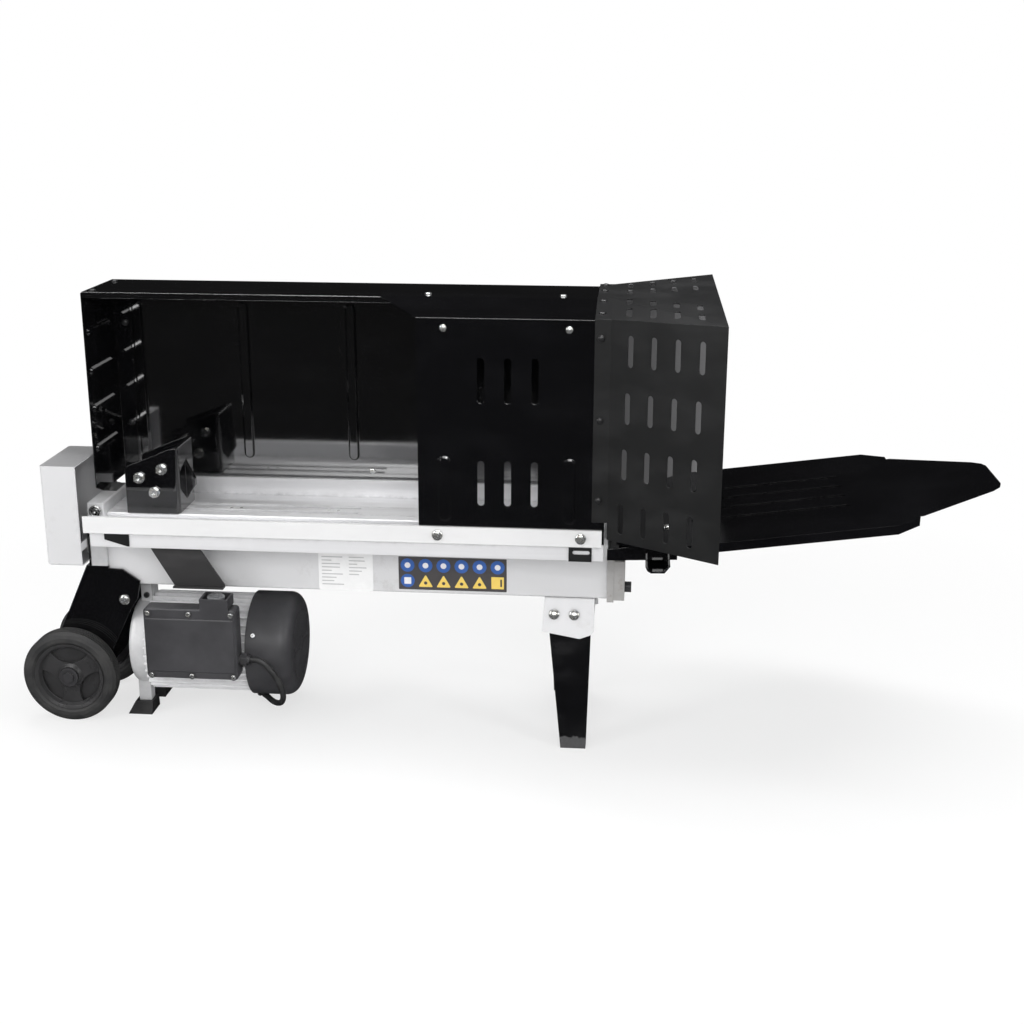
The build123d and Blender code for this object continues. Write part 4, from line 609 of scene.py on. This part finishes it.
# ---- the stage ----
def floor_material():
    """Pale floor that fades to white away from the machine and stays dark in polished surfaces."""
    g = Graph("pale_floor")
    base = g.mix(g.noise(2.0, 3), (0.86, 0.86, 0.86), (0.90, 0.90, 0.90))
    g.set(Base_Color=base, Roughness=0.65)
    distance = g.add("ShaderNodeVectorMath", operation="LENGTH")
    g.feed(distance.inputs[0], g.place)
    rays = g.add("ShaderNodeLightPath").outputs
    white = g.add("ShaderNodeEmission")
    dark = g.add("ShaderNodeEmission")
    g.feed(dark.inputs["Strength"], 0.012)
    near, away, least = 0.5, 1.4, 0.62
    faded = g.span(distance.outputs["Value"], near, away, least, 1.0)
    seen = g.calc("MULTIPLY", faded, rays["Is Camera Ray"])
    shader = g.surface.outputs[0]
    for share, other in ((seen, white), (rays["Is Glossy Ray"], dark)):
        blend = g.add("ShaderNodeMixShader")
        g.feed(blend.inputs[0], share)
        g.tree.links.new(shader, blend.inputs[1])
        g.tree.links.new(other.outputs[0], blend.inputs[2])
        shader = blend.outputs[0]
    g.tree.links.new(shader, g.tree.nodes["Material Output"].inputs["Surface"])
    return g.material


def studio_floor():
    """Pale floor that sweeps up into a backdrop behind the machine."""
    front, bend, radius, top, half_width, steps = -7.0, 3.2, 1.6, 6.0, 9.0, 12
    profile = [(front, 0.0), (bend, 0.0)]
    for step in range(1, steps + 1):
        turn = math.radians(90 * step / steps)
        profile.append((bend + radius * math.sin(turn), radius - radius * math.cos(turn)))
    profile.append((bend + radius, top))
    mesh = bmesh.new()
    left, right = ([mesh.verts.new((x, y, z)) for y, z in profile] for x in (-half_width, half_width))
    for i in range(len(profile) - 1):
        mesh.faces.new((left[i], right[i], right[i + 1], left[i + 1]))
    data = bpy.data.meshes.new("studio_floor")
    mesh.to_mesh(data)
    mesh.free()
    for face in data.polygons:
        face.use_smooth = True
    floor = bpy.data.objects.new("studio_floor", data)
    data.materials.append(floor_material())
    bpy.context.scene.collection.objects.link(floor)


def studio_light():
    """Soft boxes above, at both sides and in front: place, target, size and power."""
    softboxes = {
        "top_softbox": ((0.1, 0.2, 2.6), (0.0, 0.0, 0.3), (3.2, 0.5), 40),
        "left_softbox": ((-2.4, -1.6, 1.5), (-0.2, 0.0, 0.3), (0.6, 1.8), 24),
        "right_softbox": ((2.6, -1.4, 1.6), (0.2, 0.0, 0.3), (0.5, 1.6), 22),
        "front_fill": ((0.2, -3.6, 2.0), (0.0, 0.0, 0.3), (3.0, 1.4), 62),
    }
    for name, (place, target, size, power) in softboxes.items():
        data = bpy.data.lights.new(name, "AREA")
        data.shape = "RECTANGLE"
        data.size, data.size_y = size
        data.energy = power
        light = bpy.data.objects.new(name, data)
        light.location = place
        light.rotation_euler = (Vector(target) - Vector(place)).to_track_quat("-Z", "Y").to_euler()
        bpy.context.scene.collection.objects.link(light)


def studio_world():
    """White to the camera, soft grey to matt surfaces, and a dark room with one lamp overhead to gloss."""
    matt, room, lamp = 0.45, 0.03, 4.5
    world = bpy.data.worlds.new("studio")
    bpy.context.scene.world = world
    world.use_nodes = True
    g = Nodes(world.node_tree)
    background = g.tree.nodes["Background"]
    g.feed(background.inputs["Color"], (1, 1, 1))
    rays = g.add("ShaderNodeLightPath").outputs
    direction = g.add("ShaderNodeTexCoord").outputs["Generated"]
    # Parts of a unit direction: Z is its height, and Y how far it points past the machine.
    not_behind = g.span(g.part(direction, "Y"), 0.25, 0.10)
    overhead = g.span(g.part(direction, "Z"), 0.84, 0.92, 0.0, not_behind)
    gloss = g.span(overhead, 0.0, 1.0, room, lamp)
    matt_or_gloss = g.span(rays["Is Glossy Ray"], 0.0, 1.0, matt, gloss)
    g.feed(background.inputs["Strength"], g.span(rays["Is Camera Ray"], 0.0, 1.0, matt_or_gloss, 1.0))


def studio_camera():
    """Looks at the machine from the user's side, a little from the right and from above."""
    yaw, pitch, roll = math.radians(4.83), math.radians(-16.86), math.radians(0.15)
    from_middle = Vector((0.205, -2.150, 0.654))
    forward = Vector((-math.sin(yaw) * math.cos(pitch), math.cos(yaw) * math.cos(pitch), math.sin(pitch)))
    level = Vector((math.cos(yaw), math.sin(yaw), 0))
    upward = level.cross(forward)
    right = math.cos(roll) * level + math.sin(roll) * upward
    top = math.cos(roll) * upward - math.sin(roll) * level
    turn = Matrix((right, top, -forward)).transposed()
    data = bpy.data.cameras.new("camera")
    data.sensor_width = 36.0
    data.lens = 52.48
    camera = bpy.data.objects.new("camera", data)
    place = (CAD_BOX[0] + CAD_BOX[1]) / 2 + from_middle
    camera.matrix_world = Matrix.Translation(place) @ turn.to_4x4()
    bpy.context.scene.collection.objects.link(camera)
    bpy.context.scene.camera = camera


paint_nodes()
lug_screw()
type_plate()
safety_sticker()
studio_floor()
studio_light()
studio_world()
studio_camera()
bpy.context.scene.view_settings.view_transform = "Standard"
